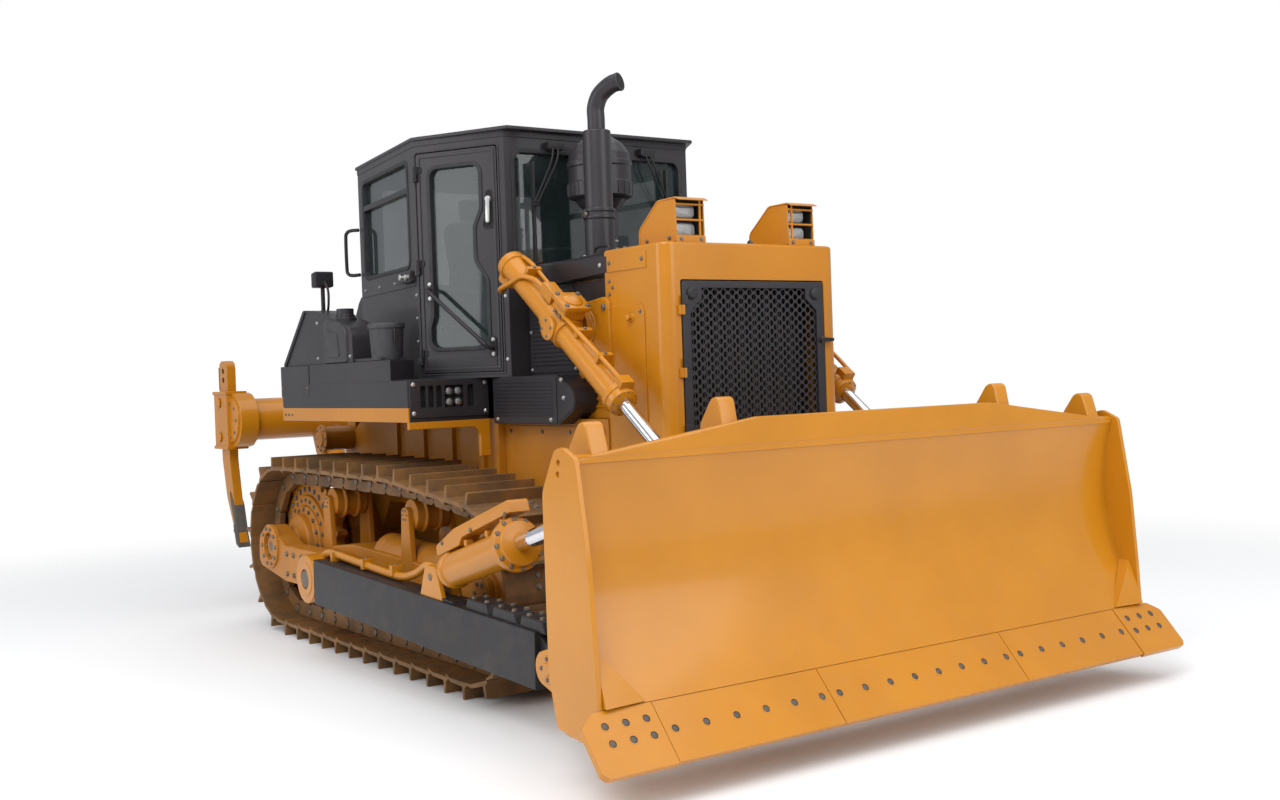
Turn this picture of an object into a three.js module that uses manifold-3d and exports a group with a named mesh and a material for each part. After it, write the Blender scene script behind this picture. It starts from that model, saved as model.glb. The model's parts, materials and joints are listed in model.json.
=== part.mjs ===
// A 220-horsepower-class crawler bulldozer: straight tilting blade, six-sided cab, three-shank ripper.
// Millimetres, +Z up. The front (the blade) faces -Y and the machine's right side is -X.
// Lengths along Y are counted from the sprocket axle while the pieces are made; the whole group is
// then moved so that the origin lies on the ground under the middle of the machine's box.
import * as THREE from "three";
import { mergeVertices } from "three/addons/utils/BufferGeometryUtils.js";
import Module from "manifold-3d";

const wasm = await Module();
wasm.setup();

// ---------------------------------------------------------------- driving dimensions
const SEAT = 0.3; // gap between pieces that touch
const PIN_SIDES = 12;
const RUN = 0.5; // radial gap of a rod in its barrel or a pin in its eye
const BALL_RUN = 0.95; // radial gap of a ball in its socket

// undercarriage
const GAUGE = 2000; // track centre to track centre
const SHOE_WIDTH = 560;
const SHOE_COUNT = 38;
const GROUSER = 72; // height of the bar across each shoe
const PLATE_OUT = 73; // pin line to the outer face of the shoe plate
const PLATE_IN = 45; // pin line to the inner face of the shoe plate
const RAIL_IN = 60; // pin line to the running face of the link rails
const SPROCKET_PITCH_R = 470;
const CAP_R = 95; // bearing cap at the outer end of the final drive
const IDLER_PITCH_R = 420;
const WHEELBASE = 2730; // sprocket axle to idler axle
const RAIL_FROM = 65; // link rails, measured sideways from the track's middle
const RAIL_TO = 110;
const CARRIER_R = 95;
const CARRIER_Y = [-590, -1780];
const CARRIER_LIFT = 6; // how far the carrier rollers hold the upper run above the sprocket's top
const ROLLER_R = 105;
const ROLLER_COUNT = 6;
const ROLLER_REAR_Y = -560;
const ROLLER_STEP = 348;

// hull
const CLEARANCE = 405; // ground to the hull's underside
const KEEL_HALF = 420;
const HULL_HALF = 600; // half-width under the engine
const HULL_TO_TRACK = 30; // room between the hull and a track
const HULL_REAR_HALF = (GAUGE - SHOE_WIDTH) / 2 - HULL_TO_TRACK; // half-width under the cab
const DECK_LOW = 1480; // underside of the fenders
const HULL_REAR_Y = 420;
const GUARD_FRONT_Y = -3706;
const GUARD_REAR_Y = -3174;
const GUARD_HALF = 590;
const GUARD_TOP = 2383;
const GUARD_LOW = 1000;
const GUARD_WALL = 40;
const GRILLE_HALF = 482;
const GRILLE_TOP = 2185;
const GRILLE_LOW = 1290;
const GRILLE_THICK = 45;
const GRILLE_HINGE = [-GRILLE_HALF - 2, GUARD_FRONT_Y - 16];
const GRILLE_HINGE_Z = [1400, 1740, 2060];
const KNUCKLE_R = 9;
const ENGINE_HALF = 400;
const ENGINE_FRONT_Y = -3150;
const ENGINE_REAR_Y = -2380;
const ENGINE_TOP = 2040;
const COWL_REAR_Y = -2285;
const COWL_FRONT_Y = -2820;

// fenders
const FENDER_OUT = 1223;
const FENDER_IN = 700;
const FENDER_REAR_Y = -75;
const FENDER_FRONT_Y = -2040;
const STRIP_TOP = 1600; // top of the lower strip
const DECK_TOP = 1727;
const BOX_TOP = 1850; // top of the raised rear part
const BOX_FRONT_Y = -1815; // its outer corner; its front slants back beside the open door
const BOX_IN = 1010;

// cab: plan corners of the walls, right side
const CAB_REAR = [-800, -505];
const CAB_MID = [-975, -1713];
const CAB_FRONT = [-665, -2270];
const CAB_WALL = 55;
const CAB_LOW = DECK_TOP + SEAT;
const CAB_TOP = 3128;
const ROOF_TOP = 3205;
const DOOR_LOW = 1765;
const DOOR_TOP = 3080;
const DOOR_GAP = 6;
const DOOR_THICK = 45;
const DOOR_PIN_OUT = 19; // the door's hinge pins stand this far outside the wall
const DOOR_HINGE_Z = [1860, 2400, 2960];
const DOOR_KNUCKLE_R = 12;
const DOOR_FROM = 22; // from the middle corner along the door wall
const DOOR_TO = 585;
const GLASS = 8;

// blade, parked with its cutting edge just off the ground
const BLADE_WIDTH = 3725; // over the end bits
const END_BIT_OUT = 102.5; // how far the end bits stand out past the end plates
const BLADE_HALF = BLADE_WIDTH / 2 - END_BIT_OUT;
const EDGE_LOW = [-4955, 172]; // tip of the cutting edge, y and z
const EDGE_TOP = [-4762, 386]; // its seam with the moldboard
const BLADE_TOP = [-4621, 1389]; // top corner of the moldboard
const EDGE_BACKED = 190; // how far down the cutting edge the moldboard backs it
const EDGE_THICK = 30;
const CROWN = 1511; // top of the raised middle
const BOARD_SAG = 118; // depth of the moldboard's hollow
const BOARD_THICK = 30;

// push arms
const TRUNNION = [-1035, 508];
const TRUNNION_R = 62;
const BALL = [-3995, 400];
const ARM_TO_TRACK = 59; // room between a track and the push arm
const ARM_WIDTH = 150;
const ARM_IN = (GAUGE + SHOE_WIDTH) / 2 + ARM_TO_TRACK;
const ARM_OUT = ARM_IN + ARM_WIDTH;
const OUTRIGGER_OUT = ARM_IN - 14; // outer face of the track frame's outrigger
const ARM_HEIGHT = 274;
const ARM_EYE_R = 88; // the boss at the arm's front end
const ARM_EYE_HALF = 45;
const ARM_BALL_R = 60;
const ARM_PIN_R = 26;
const ARM_LOOSE_R = 58; // hole of the right-hand boss, where the linkage is opened

// lift cylinders
const LIFT_X = 760;
const LIFT_YOKE = [-3005, 1979];
const LIFT_EYE = [-4265, 1054];
const LUG_SPREAD = 138; // the blade's lug plates stand this far either side of the rod's eye
const LIFT_BARREL_R = 74;
const YOKE_FACE = LIFT_X - LIFT_BARREL_R - 26; // outer face of the bosses that carry the trunnions
const LIFT_ROD_R = 37;

// tilt cylinder and brace
const TILT_X = (ARM_IN + ARM_OUT) / 2;
const TILT_FOOT = [-2750, 690];
const TILT_EYE = [-4345, 1140];
const TILT_BARREL_R = 92;
const TILT_ROD_R = 45;
const STRUT_FOOT_HALF = 24; // half-width of the eyes at the struts' rear ends
const STRUT_EYE_HALF = 28; // half-width of the eyes at their front ends
const STRUT_BALL_R = 40;
const STRUT_PIN_R = 20;

// ripper, raised
const RIP_PIVOT = [450, 760];
const RIP_PITCH = 480; // upper pivot above the lower one
const RIP_HEEL = [1310, 1215];
const RIP_PIN_R = 36;
const RIP_HALF = 1085;
const RIP_CYLINDER_X = 200;
const RIP_EYE_R = 50; // eye of a ripper cylinder's rod
const SHANK_X = [-1050, 0, 1050];

// ---------------------------------------------------------------- shape helpers
function solid(geometry) {
  const bare = geometry.clone();
  bare.deleteAttribute("normal");
  bare.deleteAttribute("uv");
  const merged = mergeVertices(bare, 1e-3);
  return new wasm.Manifold(
    new wasm.Mesh({
      numProp: 3,
      vertProperties: new Float32Array(merged.attributes.position.array),
      triVerts: new Uint32Array(merged.index.array),
    }),
  );
}

function surface(manifold) {
  const mesh = manifold.simplify(0.05).getMesh();
  const positions = new Float32Array(mesh.numVert * 3);
  for (let i = 0; i < mesh.numVert; i++) {
    const start = i * mesh.numProp;
    positions.set(mesh.vertProperties.subarray(start, start + 3), i * 3);
  }
  return new THREE.BufferGeometry()
    .setAttribute("position", new THREE.BufferAttribute(positions, 3))
    .setIndex(new THREE.BufferAttribute(new Uint32Array(mesh.triVerts), 1));
}

const join = (...shapes) => surface(shapes.map(solid).reduce((a, b) => a.add(b)));
const cut = (shape, ...tools) => surface(tools.map(solid).reduce((a, b) => a.subtract(b), solid(shape)));

function mirrored(geometry) {
  const copy = geometry.index ? geometry.toNonIndexed() : geometry.clone();
  copy.scale(-1, 1, 1);
  const p = copy.attributes.position;
  for (let i = 0; i < p.count; i += 3) {
    const x = p.getX(i + 1);
    const y = p.getY(i + 1);
    const z = p.getZ(i + 1);
    p.setXYZ(i + 1, p.getX(i + 2), p.getY(i + 2), p.getZ(i + 2));
    p.setXYZ(i + 2, x, y, z);
  }
  copy.deleteAttribute("normal");
  copy.deleteAttribute("uv");
  return copy;
}

function block(x0, x1, y0, y1, z0, z1) {
  const box = new THREE.BoxGeometry(Math.abs(x1 - x0), Math.abs(y1 - y0), Math.abs(z1 - z0));
  return box.translate((x0 + x1) / 2, (y0 + y1) / 2, (z0 + z1) / 2);
}

// A closed outline through points [a, b] or [a, b, radius]; a radius rounds that corner.
function outline(points, steps = 2) {
  const made = [];
  points.forEach(([a, b, radius], i) => {
    const here = new THREE.Vector2(a, b);
    if (!radius) {
      made.push(here);
      return;
    }
    const before = new THREE.Vector2(...points[(i + points.length - 1) % points.length].slice(0, 2));
    const after = new THREE.Vector2(...points[(i + 1) % points.length].slice(0, 2));
    const back = before.sub(here).normalize();
    const on = after.sub(here).normalize();
    const half = Math.acos(THREE.MathUtils.clamp(back.dot(on), -1, 1)) / 2;
    const reach = radius / Math.tan(half);
    const centre = here.clone().addScaledVector(back.clone().add(on).normalize(), radius / Math.sin(half));
    const from = here.clone().addScaledVector(back, reach).sub(centre);
    const to = here.clone().addScaledVector(on, reach).sub(centre);
    const start = from.angle();
    let turn = to.angle() - start;
    if (turn > Math.PI) turn -= 2 * Math.PI;
    if (turn < -Math.PI) turn += 2 * Math.PI;
    for (let k = 0; k <= steps; k++) {
      const angle = start + (turn * k) / steps;
      made.push(new THREE.Vector2(Math.cos(angle), Math.sin(angle)).multiplyScalar(radius).add(centre));
    }
  });
  return new THREE.Shape(made);
}

const flat = (shape, depth) => new THREE.ExtrudeGeometry(shape, { depth, bevelEnabled: false, steps: 1 });
const X = new THREE.Vector3(1, 0, 0);
const Y = new THREE.Vector3(0, 1, 0);
const Z = new THREE.Vector3(0, 0, 1);
const ACROSS = new THREE.Matrix4().makeBasis(Y, Z, X); // outline in y and z, extruded along X
const ALONG = new THREE.Matrix4().makeBasis(X, Z, Y.clone().negate()); // outline in x and z, along Y

const slab = (points, x0, x1, steps) =>
  flat(outline(points, steps), x1 - x0).applyMatrix4(ACROSS).translate(x0, 0, 0);
const panel = (points, y0, y1, steps) =>
  flat(outline(points, steps), y1 - y0).applyMatrix4(ALONG).translate(0, y1, 0);
const plate = (points, z0, z1, steps) => flat(outline(points, steps), z1 - z0).translate(0, 0, z0);

// A round bar between two points, [x, y, z] each; the phase turns its facets about its axis.
function bar(from, to, radius, sides = 12, endRadius = radius, phase = 0) {
  const a = new THREE.Vector3(...from);
  const b = new THREE.Vector3(...to);
  const round = new THREE.CylinderGeometry(endRadius, radius, a.distanceTo(b), sides, 1, false, phase);
  const turn = new THREE.Quaternion().setFromUnitVectors(Y, b.clone().sub(a).normalize());
  return round.applyQuaternion(turn).translate(...a.add(b).multiplyScalar(0.5).toArray());
}

const crossBar = (x0, x1, [y, z], radius, sides) => bar([x0, y, z], [x1, y, z], radius, sides);
// The hole for a pin with the same number of sides: no corner of the pin meets a side of the hole at any angle.
function bore(x0, x1, [y, z], pinRadius, sides = PIN_SIDES) {
  const radius = (pinRadius + RUN) / Math.cos(Math.PI / sides);
  return bar([x0, y, z], [x1, y, z], radius, sides, radius, Math.PI / sides);
}
const upright = ([x, y], z0, z1, radius, sides) => bar([x, y, z0], [x, y, z1], radius, sides);
const ball = (x, [y, z], radius) => new THREE.SphereGeometry(radius, 18, 6).translate(x, y, z);
const between = (from, to, share) => from.map((v, i) => v + (to[i] - v) * share);
const span = (from, to) => Math.hypot(to[0] - from[0], to[1] - from[1]);

// A point at a distance from one [y, z] point towards another, with an offset square to that line.
function ahead(from, to, distance, side = 0) {
  const length = span(from, to);
  const dy = (to[0] - from[0]) / length;
  const dz = (to[1] - from[1]) / length;
  return [from[0] + dy * distance - dz * side, from[1] + dz * distance + dy * side];
}

// A straight bar of box section between two [y, z] points.
function beam(from, to, x0, x1, lowSide, highSide, before = 0, after = 0) {
  const length = span(from, to);
  const corners = [
    ahead(from, to, -before, lowSide),
    ahead(from, to, length + after, lowSide),
    ahead(from, to, length + after, highSide),
    ahead(from, to, -before, highSide),
  ];
  return slab(corners, x0, x1);
}

// ---------------------------------------------------------------- finishes
const finish = (color, roughness, metalness = 0) =>
  new THREE.MeshStandardMaterial({ color, roughness, metalness });
const YELLOW = 0xe0951f;
const GRAPHITE = 0x3a363c;
const paint = {
  yellow: finish(YELLOW, 0.35),
  chassis: finish(0xc07f1f, 0.55),
  graphite: finish(GRAPHITE, 0.5),
  steel: finish(0x5a5048, 0.6, 0.6),
  chrome: finish(0xd8d8dc, 0.12, 1),
  black: finish(0x1c1c1f, 0.6),
  glass: new THREE.MeshStandardMaterial({ color: 0x6f8f93, roughness: 0.05, transparent: true, opacity: 0.4 }),
};

const root = new THREE.Group();

function add(name, material, geometry) {
  const mesh = new THREE.Mesh(geometry, material.clone());
  mesh.name = name;
  root.add(mesh);
}

function addPair(name, material, rightGeometry) {
  add(name + "_right", material, rightGeometry);
  add(name + "_left", material, mirrored(rightGeometry));
}

// ---------------------------------------------------------------- undercarriage
const PIN_HEIGHT = PLATE_OUT + GROUSER;
const SPROCKET_AXLE = [0, PIN_HEIGHT + SPROCKET_PITCH_R];
const IDLER_AXLE = [-WHEELBASE, PIN_HEIGHT + IDLER_PITCH_R];
const CARRIER_PIN_Z = SPROCKET_AXLE[1] + SPROCKET_PITCH_R + CARRIER_LIFT;
const CARRIER_AXLES = CARRIER_Y.map((y, i) => [y, CARRIER_PIN_Z - i * 10 - RAIL_IN - CARRIER_R]);
const TRACK_X = -GAUGE / 2;

// The pin line of the track as a tight belt over its wheels, grown outwards by an offset.
function belt(offset, stepDegrees = 6) {
  const wheels = [
    [SPROCKET_AXLE, SPROCKET_PITCH_R],
    [IDLER_AXLE, IDLER_PITCH_R],
    ...CARRIER_AXLES.map((axle) => [axle, RAIL_IN + CARRIER_R]),
  ];
  const cloud = [];
  for (const [[y, z], radius] of wheels)
    for (let angle = 0; angle < 360; angle += stepDegrees) {
      const a = THREE.MathUtils.degToRad(angle);
      cloud.push([y + (radius + offset) * Math.cos(a), z + (radius + offset) * Math.sin(a)]);
    }
  return hull(cloud);
}

// The convex outline around points, anticlockwise.
function hull(points) {
  const sorted = [...points].sort((p, q) => p[0] - q[0] || p[1] - q[1]);
  const turn = (o, p, q) => (p[0] - o[0]) * (q[1] - o[1]) - (p[1] - o[1]) * (q[0] - o[0]);
  const chain = (list) => {
    const kept = [];
    for (const p of list) {
      while (kept.length > 1 && turn(kept.at(-2), kept.at(-1), p) <= 1e-6) kept.pop();
      kept.push(p);
    }
    return kept.slice(0, -1);
  };
  return [...chain(sorted), ...chain(sorted.reverse())];
}

// Points and outward directions at even steps along a closed line.
function stations(line, count) {
  const lengths = line.map((p, i) => span(p, line[(i + 1) % line.length]));
  const total = lengths.reduce((a, b) => a + b, 0);
  return Array.from({ length: count }, (_, k) => {
    let rest = ((k + 0.5) * total) / count;
    let i = 0;
    while (rest > lengths[i]) rest -= lengths[i++];
    const from = line[i];
    const to = line[(i + 1) % line.length];
    const t = rest / lengths[i];
    const along = [(to[0] - from[0]) / lengths[i], (to[1] - from[1]) / lengths[i]];
    return { at: between(from, to, t), along, out: [along[1], -along[0]], pitch: total / count };
  });
}

function trackLoop() {
  const bar = 20; // thickness of a grouser
  const grip = 0.36; // share of the pitch from the shoe's middle back to its grouser
  const shoes = stations(belt(0, 3), SHOE_COUNT).flatMap(({ at, along, out, pitch }) => {
    const point = (t, n) => [at[0] + along[0] * t + out[0] * n, at[1] + along[1] * t + out[1] * n];
    return [
      point(-pitch * grip, PLATE_OUT),
      point(-pitch * grip, PLATE_OUT + GROUSER),
      point(-pitch * grip + bar, PLATE_OUT + GROUSER),
      point(-pitch * grip + bar, PLATE_OUT),
      point(pitch * 0.47, PLATE_OUT),
    ];
  });
  const half = SHOE_WIDTH / 2;
  const shoeBand = cut(
    slab(shoes, TRACK_X - half, TRACK_X + half),
    slab(belt(PLATE_IN, 9), TRACK_X - half - 10, TRACK_X + half + 10),
  );
  const rails = [-1, 1].map((side) => {
    const x0 = TRACK_X + Math.min(side * RAIL_FROM, side * RAIL_TO);
    const x1 = TRACK_X + Math.max(side * RAIL_FROM, side * RAIL_TO);
    const outer = slab(belt(PLATE_IN + 5, 9), x0, x1);
    return cut(outer, slab(belt(-RAIL_IN, 9), x0 - 5, x1 + 5));
  });
  return join(shoeBand, ...rails);
}

function sprocket() {
  const teeth = 27;
  const rootR = SPROCKET_PITCH_R - 42;
  const tipR = SPROCKET_PITCH_R + 28;
  const points = [];
  for (let k = 0; k < teeth; k++)
    for (const [share, radius] of [[0, rootR], [0.34, rootR], [0.56, tipR], [0.78, tipR]]) {
      const a = ((k + share) * 2 * Math.PI) / teeth;
      points.push([SPROCKET_AXLE[0] + radius * Math.cos(a), SPROCKET_AXLE[1] + radius * Math.sin(a)]);
    }
  const ring = slab(points, TRACK_X - 38, TRACK_X + 38);
  const boss = crossBar(TRACK_X - 60, TRACK_X + 60, SPROCKET_AXLE, 330, 20);
  return cut(join(ring, boss), crossBar(TRACK_X - 70, TRACK_X + 70, SPROCKET_AXLE, 260 + SEAT, 20));
}

function finalDrive() {
  const inner = crossBar(-HULL_REAR_HALF + 40 - SEAT, -860, SPROCKET_AXLE, 345, 20);
  const drum = crossBar(-850, -1075, SPROCKET_AXLE, 260, 20);
  const cover = crossBar(-1075, -1150, SPROCKET_AXLE, 200, 16);
  const cap = crossBar(-1150, -OUTRIGGER_OUT, SPROCKET_AXLE, CAP_R, 14);
  return join(inner, drum, cover, cap);
}

function idler() {
  const tread = (IDLER_PITCH_R - RAIL_IN) * 0.9969 - RUN;
  const wheel = crossBar(TRACK_X - RAIL_TO, TRACK_X + RAIL_TO, IDLER_AXLE, tread, 24);
  const flange = crossBar(TRACK_X - RAIL_FROM + 5, TRACK_X + RAIL_FROM - 5, IDLER_AXLE, tread + 28, 24);
  const dish = (x) => crossBar(TRACK_X + x, TRACK_X + Math.sign(x) * RAIL_TO * 1.1, IDLER_AXLE, tread - 70, 18);
  const hub = crossBar(TRACK_X - 135, TRACK_X + 135, IDLER_AXLE, 110, 14);
  return join(cut(join(wheel, flange), dish(-60), dish(60)), hub);
}

function trackFrame() {
  const sideIn = TRACK_X + 150;
  const sideOut = TRACK_X - 150;
  const rollerZ = PIN_HEIGHT + RAIL_IN + ROLLER_R + RUN;
  const railTop = rollerZ + ROLLER_R + 20;
  const mainBox = slab(
    [[-540, railTop], [-540, 640, 60], [-1000, 690, 100], [-2200, 640, 60], [-2330, railTop, 30]],
    sideOut, sideIn,
  );
  const rollers = Array.from({ length: ROLLER_COUNT }, (_, k) =>
    crossBar(sideOut + 20, sideIn - 20, [ROLLER_REAR_Y - k * ROLLER_STEP, rollerZ], ROLLER_R, 12),
  );
  const frontY = ROLLER_REAR_Y - (ROLLER_COUNT - 1) * ROLLER_STEP;
  const guards = [[sideOut, sideOut + 30], [sideIn - 30, sideIn]].map(([x0, x1]) =>
    slab([[-400, 262], [-400, railTop + 10], [frontY - 130, railTop + 10], [frontY - 160, 262]], x0, x1),
  );
  const carriers = CARRIER_AXLES.flatMap(([y, z]) => [
    crossBar(TRACK_X - 118, sideIn - 10, [y, z], CARRIER_R - RUN, 12),
    slab([[y - 90, 600], [y + 90, 600], [y + 60, z + 60, 20], [y - 60, z + 60, 20]], sideIn - 35, sideIn),
    slab([[y - 75, 600], [y + 75, 600], [y + 45, z + 40, 20], [y - 45, z + 40, 20]], sideOut, sideOut + 35),
    crossBar(sideOut, TRACK_X - 110, [y, z], 45, 12),
  ]);
  const yokes = [[TRACK_X - 170, TRACK_X - 135 - SEAT], [TRACK_X + 135 + SEAT, TRACK_X + 170]].map(([x0, x1]) =>
    slab([[-2100, 450], [-2100, 640, 30], [-WHEELBASE - 90, IDLER_AXLE[1] + 90, 60],
      [-WHEELBASE - 90, IDLER_AXLE[1] - 90, 60]], x0, x1),
  );
  const recoil = bar([TRACK_X, -1250, 640], [TRACK_X, -2150, 620], 130, 14);
  const outrigger = slab(
    [[-1150, 395, 40], [-1190, 620, 60], [-900, 640, 60], [-250, 640, 80], [60, SPROCKET_AXLE[1] + 150, 100],
      [230, SPROCKET_AXLE[1] + 60, 60], [250, 470, 60], [-250, 395, 60]],
    -OUTRIGGER_OUT, 145 - OUTRIGGER_OUT,
  );
  const socket = crossBar(-OUTRIGGER_OUT - 5, 155 - OUTRIGGER_OUT, SPROCKET_AXLE, CAP_R + SEAT, 14);
  const bridge = block(-OUTRIGGER_OUT - 5, sideOut + 10, -900, -560, railTop - 30, 600);
  const trunnion = join(
    crossBar(-OUTRIGGER_OUT, -ARM_IN + SEAT * 2, TRUNNION, 120, 14),
    crossBar(-OUTRIGGER_OUT, -ARM_OUT - 6, TRUNNION, TRUNNION_R, PIN_SIDES),
  );
  return join(
    mainBox, ...rollers, ...guards, ...carriers, ...yokes, recoil, cut(outrigger, socket), bridge, trunnion,
  );
}

const EQUALIZER = [-1700, 760];

function equalizerBar() {
  const half = -sideOfFrame() - SEAT;
  const body = panel(
    [[-half, 690], [half, 690], [half, 800, 20], [160, 850, 40], [-160, 850, 40], [-half, 800, 20]],
    EQUALIZER[0] - 75, EQUALIZER[0] + 75,
  );
  return body;
}

const sideOfFrame = () => TRACK_X + 150;

// ---------------------------------------------------------------- hull and engine
function hullBody() {
  const keel = slab(
    [[GUARD_FRONT_Y + 60, 560, 60], [GUARD_FRONT_Y + 60, GUARD_LOW - SEAT], [-2000, GUARD_LOW - SEAT],
      [HULL_REAR_Y, 1380, 60], [HULL_REAR_Y, 480, 60], [300, CLEARANCE, 60], [-3300, CLEARANCE, 60]],
    -KEEL_HALF, KEEL_HALF,
  );
  const engineWell = block(
    -ENGINE_HALF, ENGINE_HALF, ENGINE_FRONT_Y, ENGINE_REAR_Y, GUARD_LOW - SEAT, DECK_LOW + 10,
  );
  const engineBay = block(-HULL_HALF, HULL_HALF, GUARD_REAR_Y + SEAT, -2050, 900, DECK_LOW - SEAT);
  const rearCase = slab(
    [[-2060, 900], [-2060, DECK_LOW - SEAT], [-120, DECK_LOW - SEAT], [200, 1300, 60], [300, 900], [300, 700],
      [-360, 700], [-500, 900]],
    -HULL_REAR_HALF + 40, HULL_REAR_HALF - 40,
  );
  const axle = crossBar(-HULL_REAR_HALF + 40, HULL_REAR_HALF - 40, SPROCKET_AXLE, 300, 18);
  const saddle = block(-150, 150, EQUALIZER[0] - 120, EQUALIZER[0] + 120, 840, 1000);
  const pocket = block(-KEEL_HALF - 10, KEEL_HALF + 10, EQUALIZER[0] - 87, EQUALIZER[0] + 87, 640, 850 + SEAT);
  const towers = [-1, 1].flatMap((side) => [
    crossBar(side * (HULL_REAR_HALF - 60), side * 870, [120, 1330], 85, 12),
    block(side * 600, side * 640, 60, 200, 1240, 1470),
  ]);
  const ribs = [-1, 1].flatMap((side) =>
    [-1900, -1500, -1100, -700].map((y) =>
      block(side * (HULL_REAR_HALF - 60), side * (HULL_REAR_HALF - 12), y - 12, y + 12, 1000, DECK_LOW - SEAT),
    ),
  );
  const rearEars = [-1, 1].map((side) =>
    slab([[HULL_REAR_Y - 60, 560], [RIP_PIVOT[0] + 60, 620, 60], [RIP_PIVOT[0] + 70, 900, 40],
      [RIP_PIVOT[0] + 70, 1300, 70], [HULL_REAR_Y - 60, 1340]],
      side > 0 ? 385 : -415, side > 0 ? 415 : -385),
  );
  const middleEars = [-1, 1].map((side) =>
    slab([[HULL_REAR_Y - 60, 1060], [RIP_PIVOT[0] + 70, 1090, 60], [RIP_PIVOT[0] + 70, 1270, 60],
      [HULL_REAR_Y - 60, 1300]],
      side > 0 ? 95 : -120, side > 0 ? 120 : -95),
  );
  const opening = [
    crossBar(-380, 380, RIP_PIVOT, 105, 14),
    block(-380, 380, HULL_REAR_Y - 60, HULL_REAR_Y + 300, RIP_PIVOT[1] - 105, RIP_PIVOT[1] + 105),
    crossBar(-380, 380, [RIP_PIVOT[0], RIP_PIVOT[1] + RIP_PITCH], 115, 14),
  ];
  const pins = [RIP_PIVOT, [RIP_PIVOT[0], RIP_PIVOT[1] + RIP_PITCH]].map((at) =>
    crossBar(-400, 400, at, RIP_PIN_R, PIN_SIDES),
  );
  return join(
    cut(join(keel, engineBay, rearCase, axle, saddle, ...ribs, ...towers), pocket, engineWell, ...opening),
    ...rearEars, ...middleEars, ...pins,
  );
}

function engineBlock() {
  const half = ENGINE_HALF - SEAT;
  return block(-half, half, ENGINE_FRONT_Y + SEAT, ENGINE_REAR_Y - SEAT, GUARD_LOW, ENGINE_TOP);
}

function radiatorGuard() {
  const round = 70;
  const body = plate(
    [[-GUARD_HALF, GUARD_REAR_Y], [-GUARD_HALF, GUARD_FRONT_Y, round], [GUARD_HALF, GUARD_FRONT_Y, round],
      [GUARD_HALF, GUARD_REAR_Y]],
    GUARD_LOW, GUARD_TOP,
  );
  const inside = block(
    -GUARD_HALF + GUARD_WALL, GUARD_HALF - GUARD_WALL, GUARD_FRONT_Y + 90, GUARD_REAR_Y + 10,
    GUARD_LOW - 10, GUARD_TOP - GUARD_WALL,
  );
  const mouth = block(
    -GRILLE_HALF - DOOR_GAP, GRILLE_HALF + DOOR_GAP, GUARD_FRONT_Y - 10, GUARD_FRONT_Y + 100,
    GRILLE_LOW - DOOR_GAP, GRILLE_TOP + DOOR_GAP,
  );
  const bracket = liftBracket();
  return join(cut(body, inside, mouth), bracket, mirrored(bracket), ...grilleKnuckles(-1));
}

// The grille door's hinge: upright knuckles, the guard's below and the door's above, at three heights.
function grilleKnuckles(side) {
  const [x, y] = GRILLE_HINGE;
  return GRILLE_HINGE_Z.flatMap((z) => {
    const low = side < 0 ? z - 50 : z + SEAT;
    const leaf =
      side < 0 ? block(x - 26, x - 5, y, y + 22, low, low + 50) : block(x + 5, x + 26, y - 6, y + 16, low, low + 50);
    return [upright(GRILLE_HINGE, low, low + 50, KNUCKLE_R, 10), leaf];
  });
}

// One side bracket that carries a lift cylinder's trunnion, welded behind the guard.
function liftBracket() {
  const [y, z] = LIFT_YOKE;
  const side = slab(
    [[GUARD_REAR_Y - 60, z - 260, 40], [y + 130, z - 200, 40], [y + 130, z + 120, 60],
      [GUARD_REAR_Y - 60, z + 160, 40]],
    -GUARD_HALF - 22, -GUARD_HALF + 40,
  );
  const boss = crossBar(-GUARD_HALF - 20, -YOKE_FACE, LIFT_YOKE, 88, 14);
  return join(side, boss);
}

function enginePanel() {
  const skin = block(
    -GUARD_HALF + GUARD_WALL + SEAT, -GUARD_HALF + 60, GUARD_REAR_Y + SEAT, COWL_FRONT_Y - SEAT, DECK_LOW, 2240,
  );
  const foot = block(
    -GUARD_HALF + 50, -GUARD_HALF + 120, GUARD_REAR_Y + 10, COWL_FRONT_Y - 200, DECK_LOW, DECK_LOW + 40,
  );
  return join(skin, foot);
}

function radiatorCore() {
  return block(-440, 440, GUARD_FRONT_Y + 130, GUARD_FRONT_Y + 290, GUARD_LOW + 60, GUARD_TOP - GUARD_WALL - SEAT);
}

function hood() {
  const top = 2376;
  const skin = panel(
    [[-575, 2250], [-575, top, 60], [575, top, 60], [575, 2250], [545, 2250], [545, top - 32, 40],
      [-545, top - 32, 40], [-545, 2250]],
    GUARD_REAR_Y + SEAT, COWL_REAR_Y - 80,
  );
  return skin;
}

const SIDE_PANEL_IN = GUARD_HALF - 40;

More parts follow.
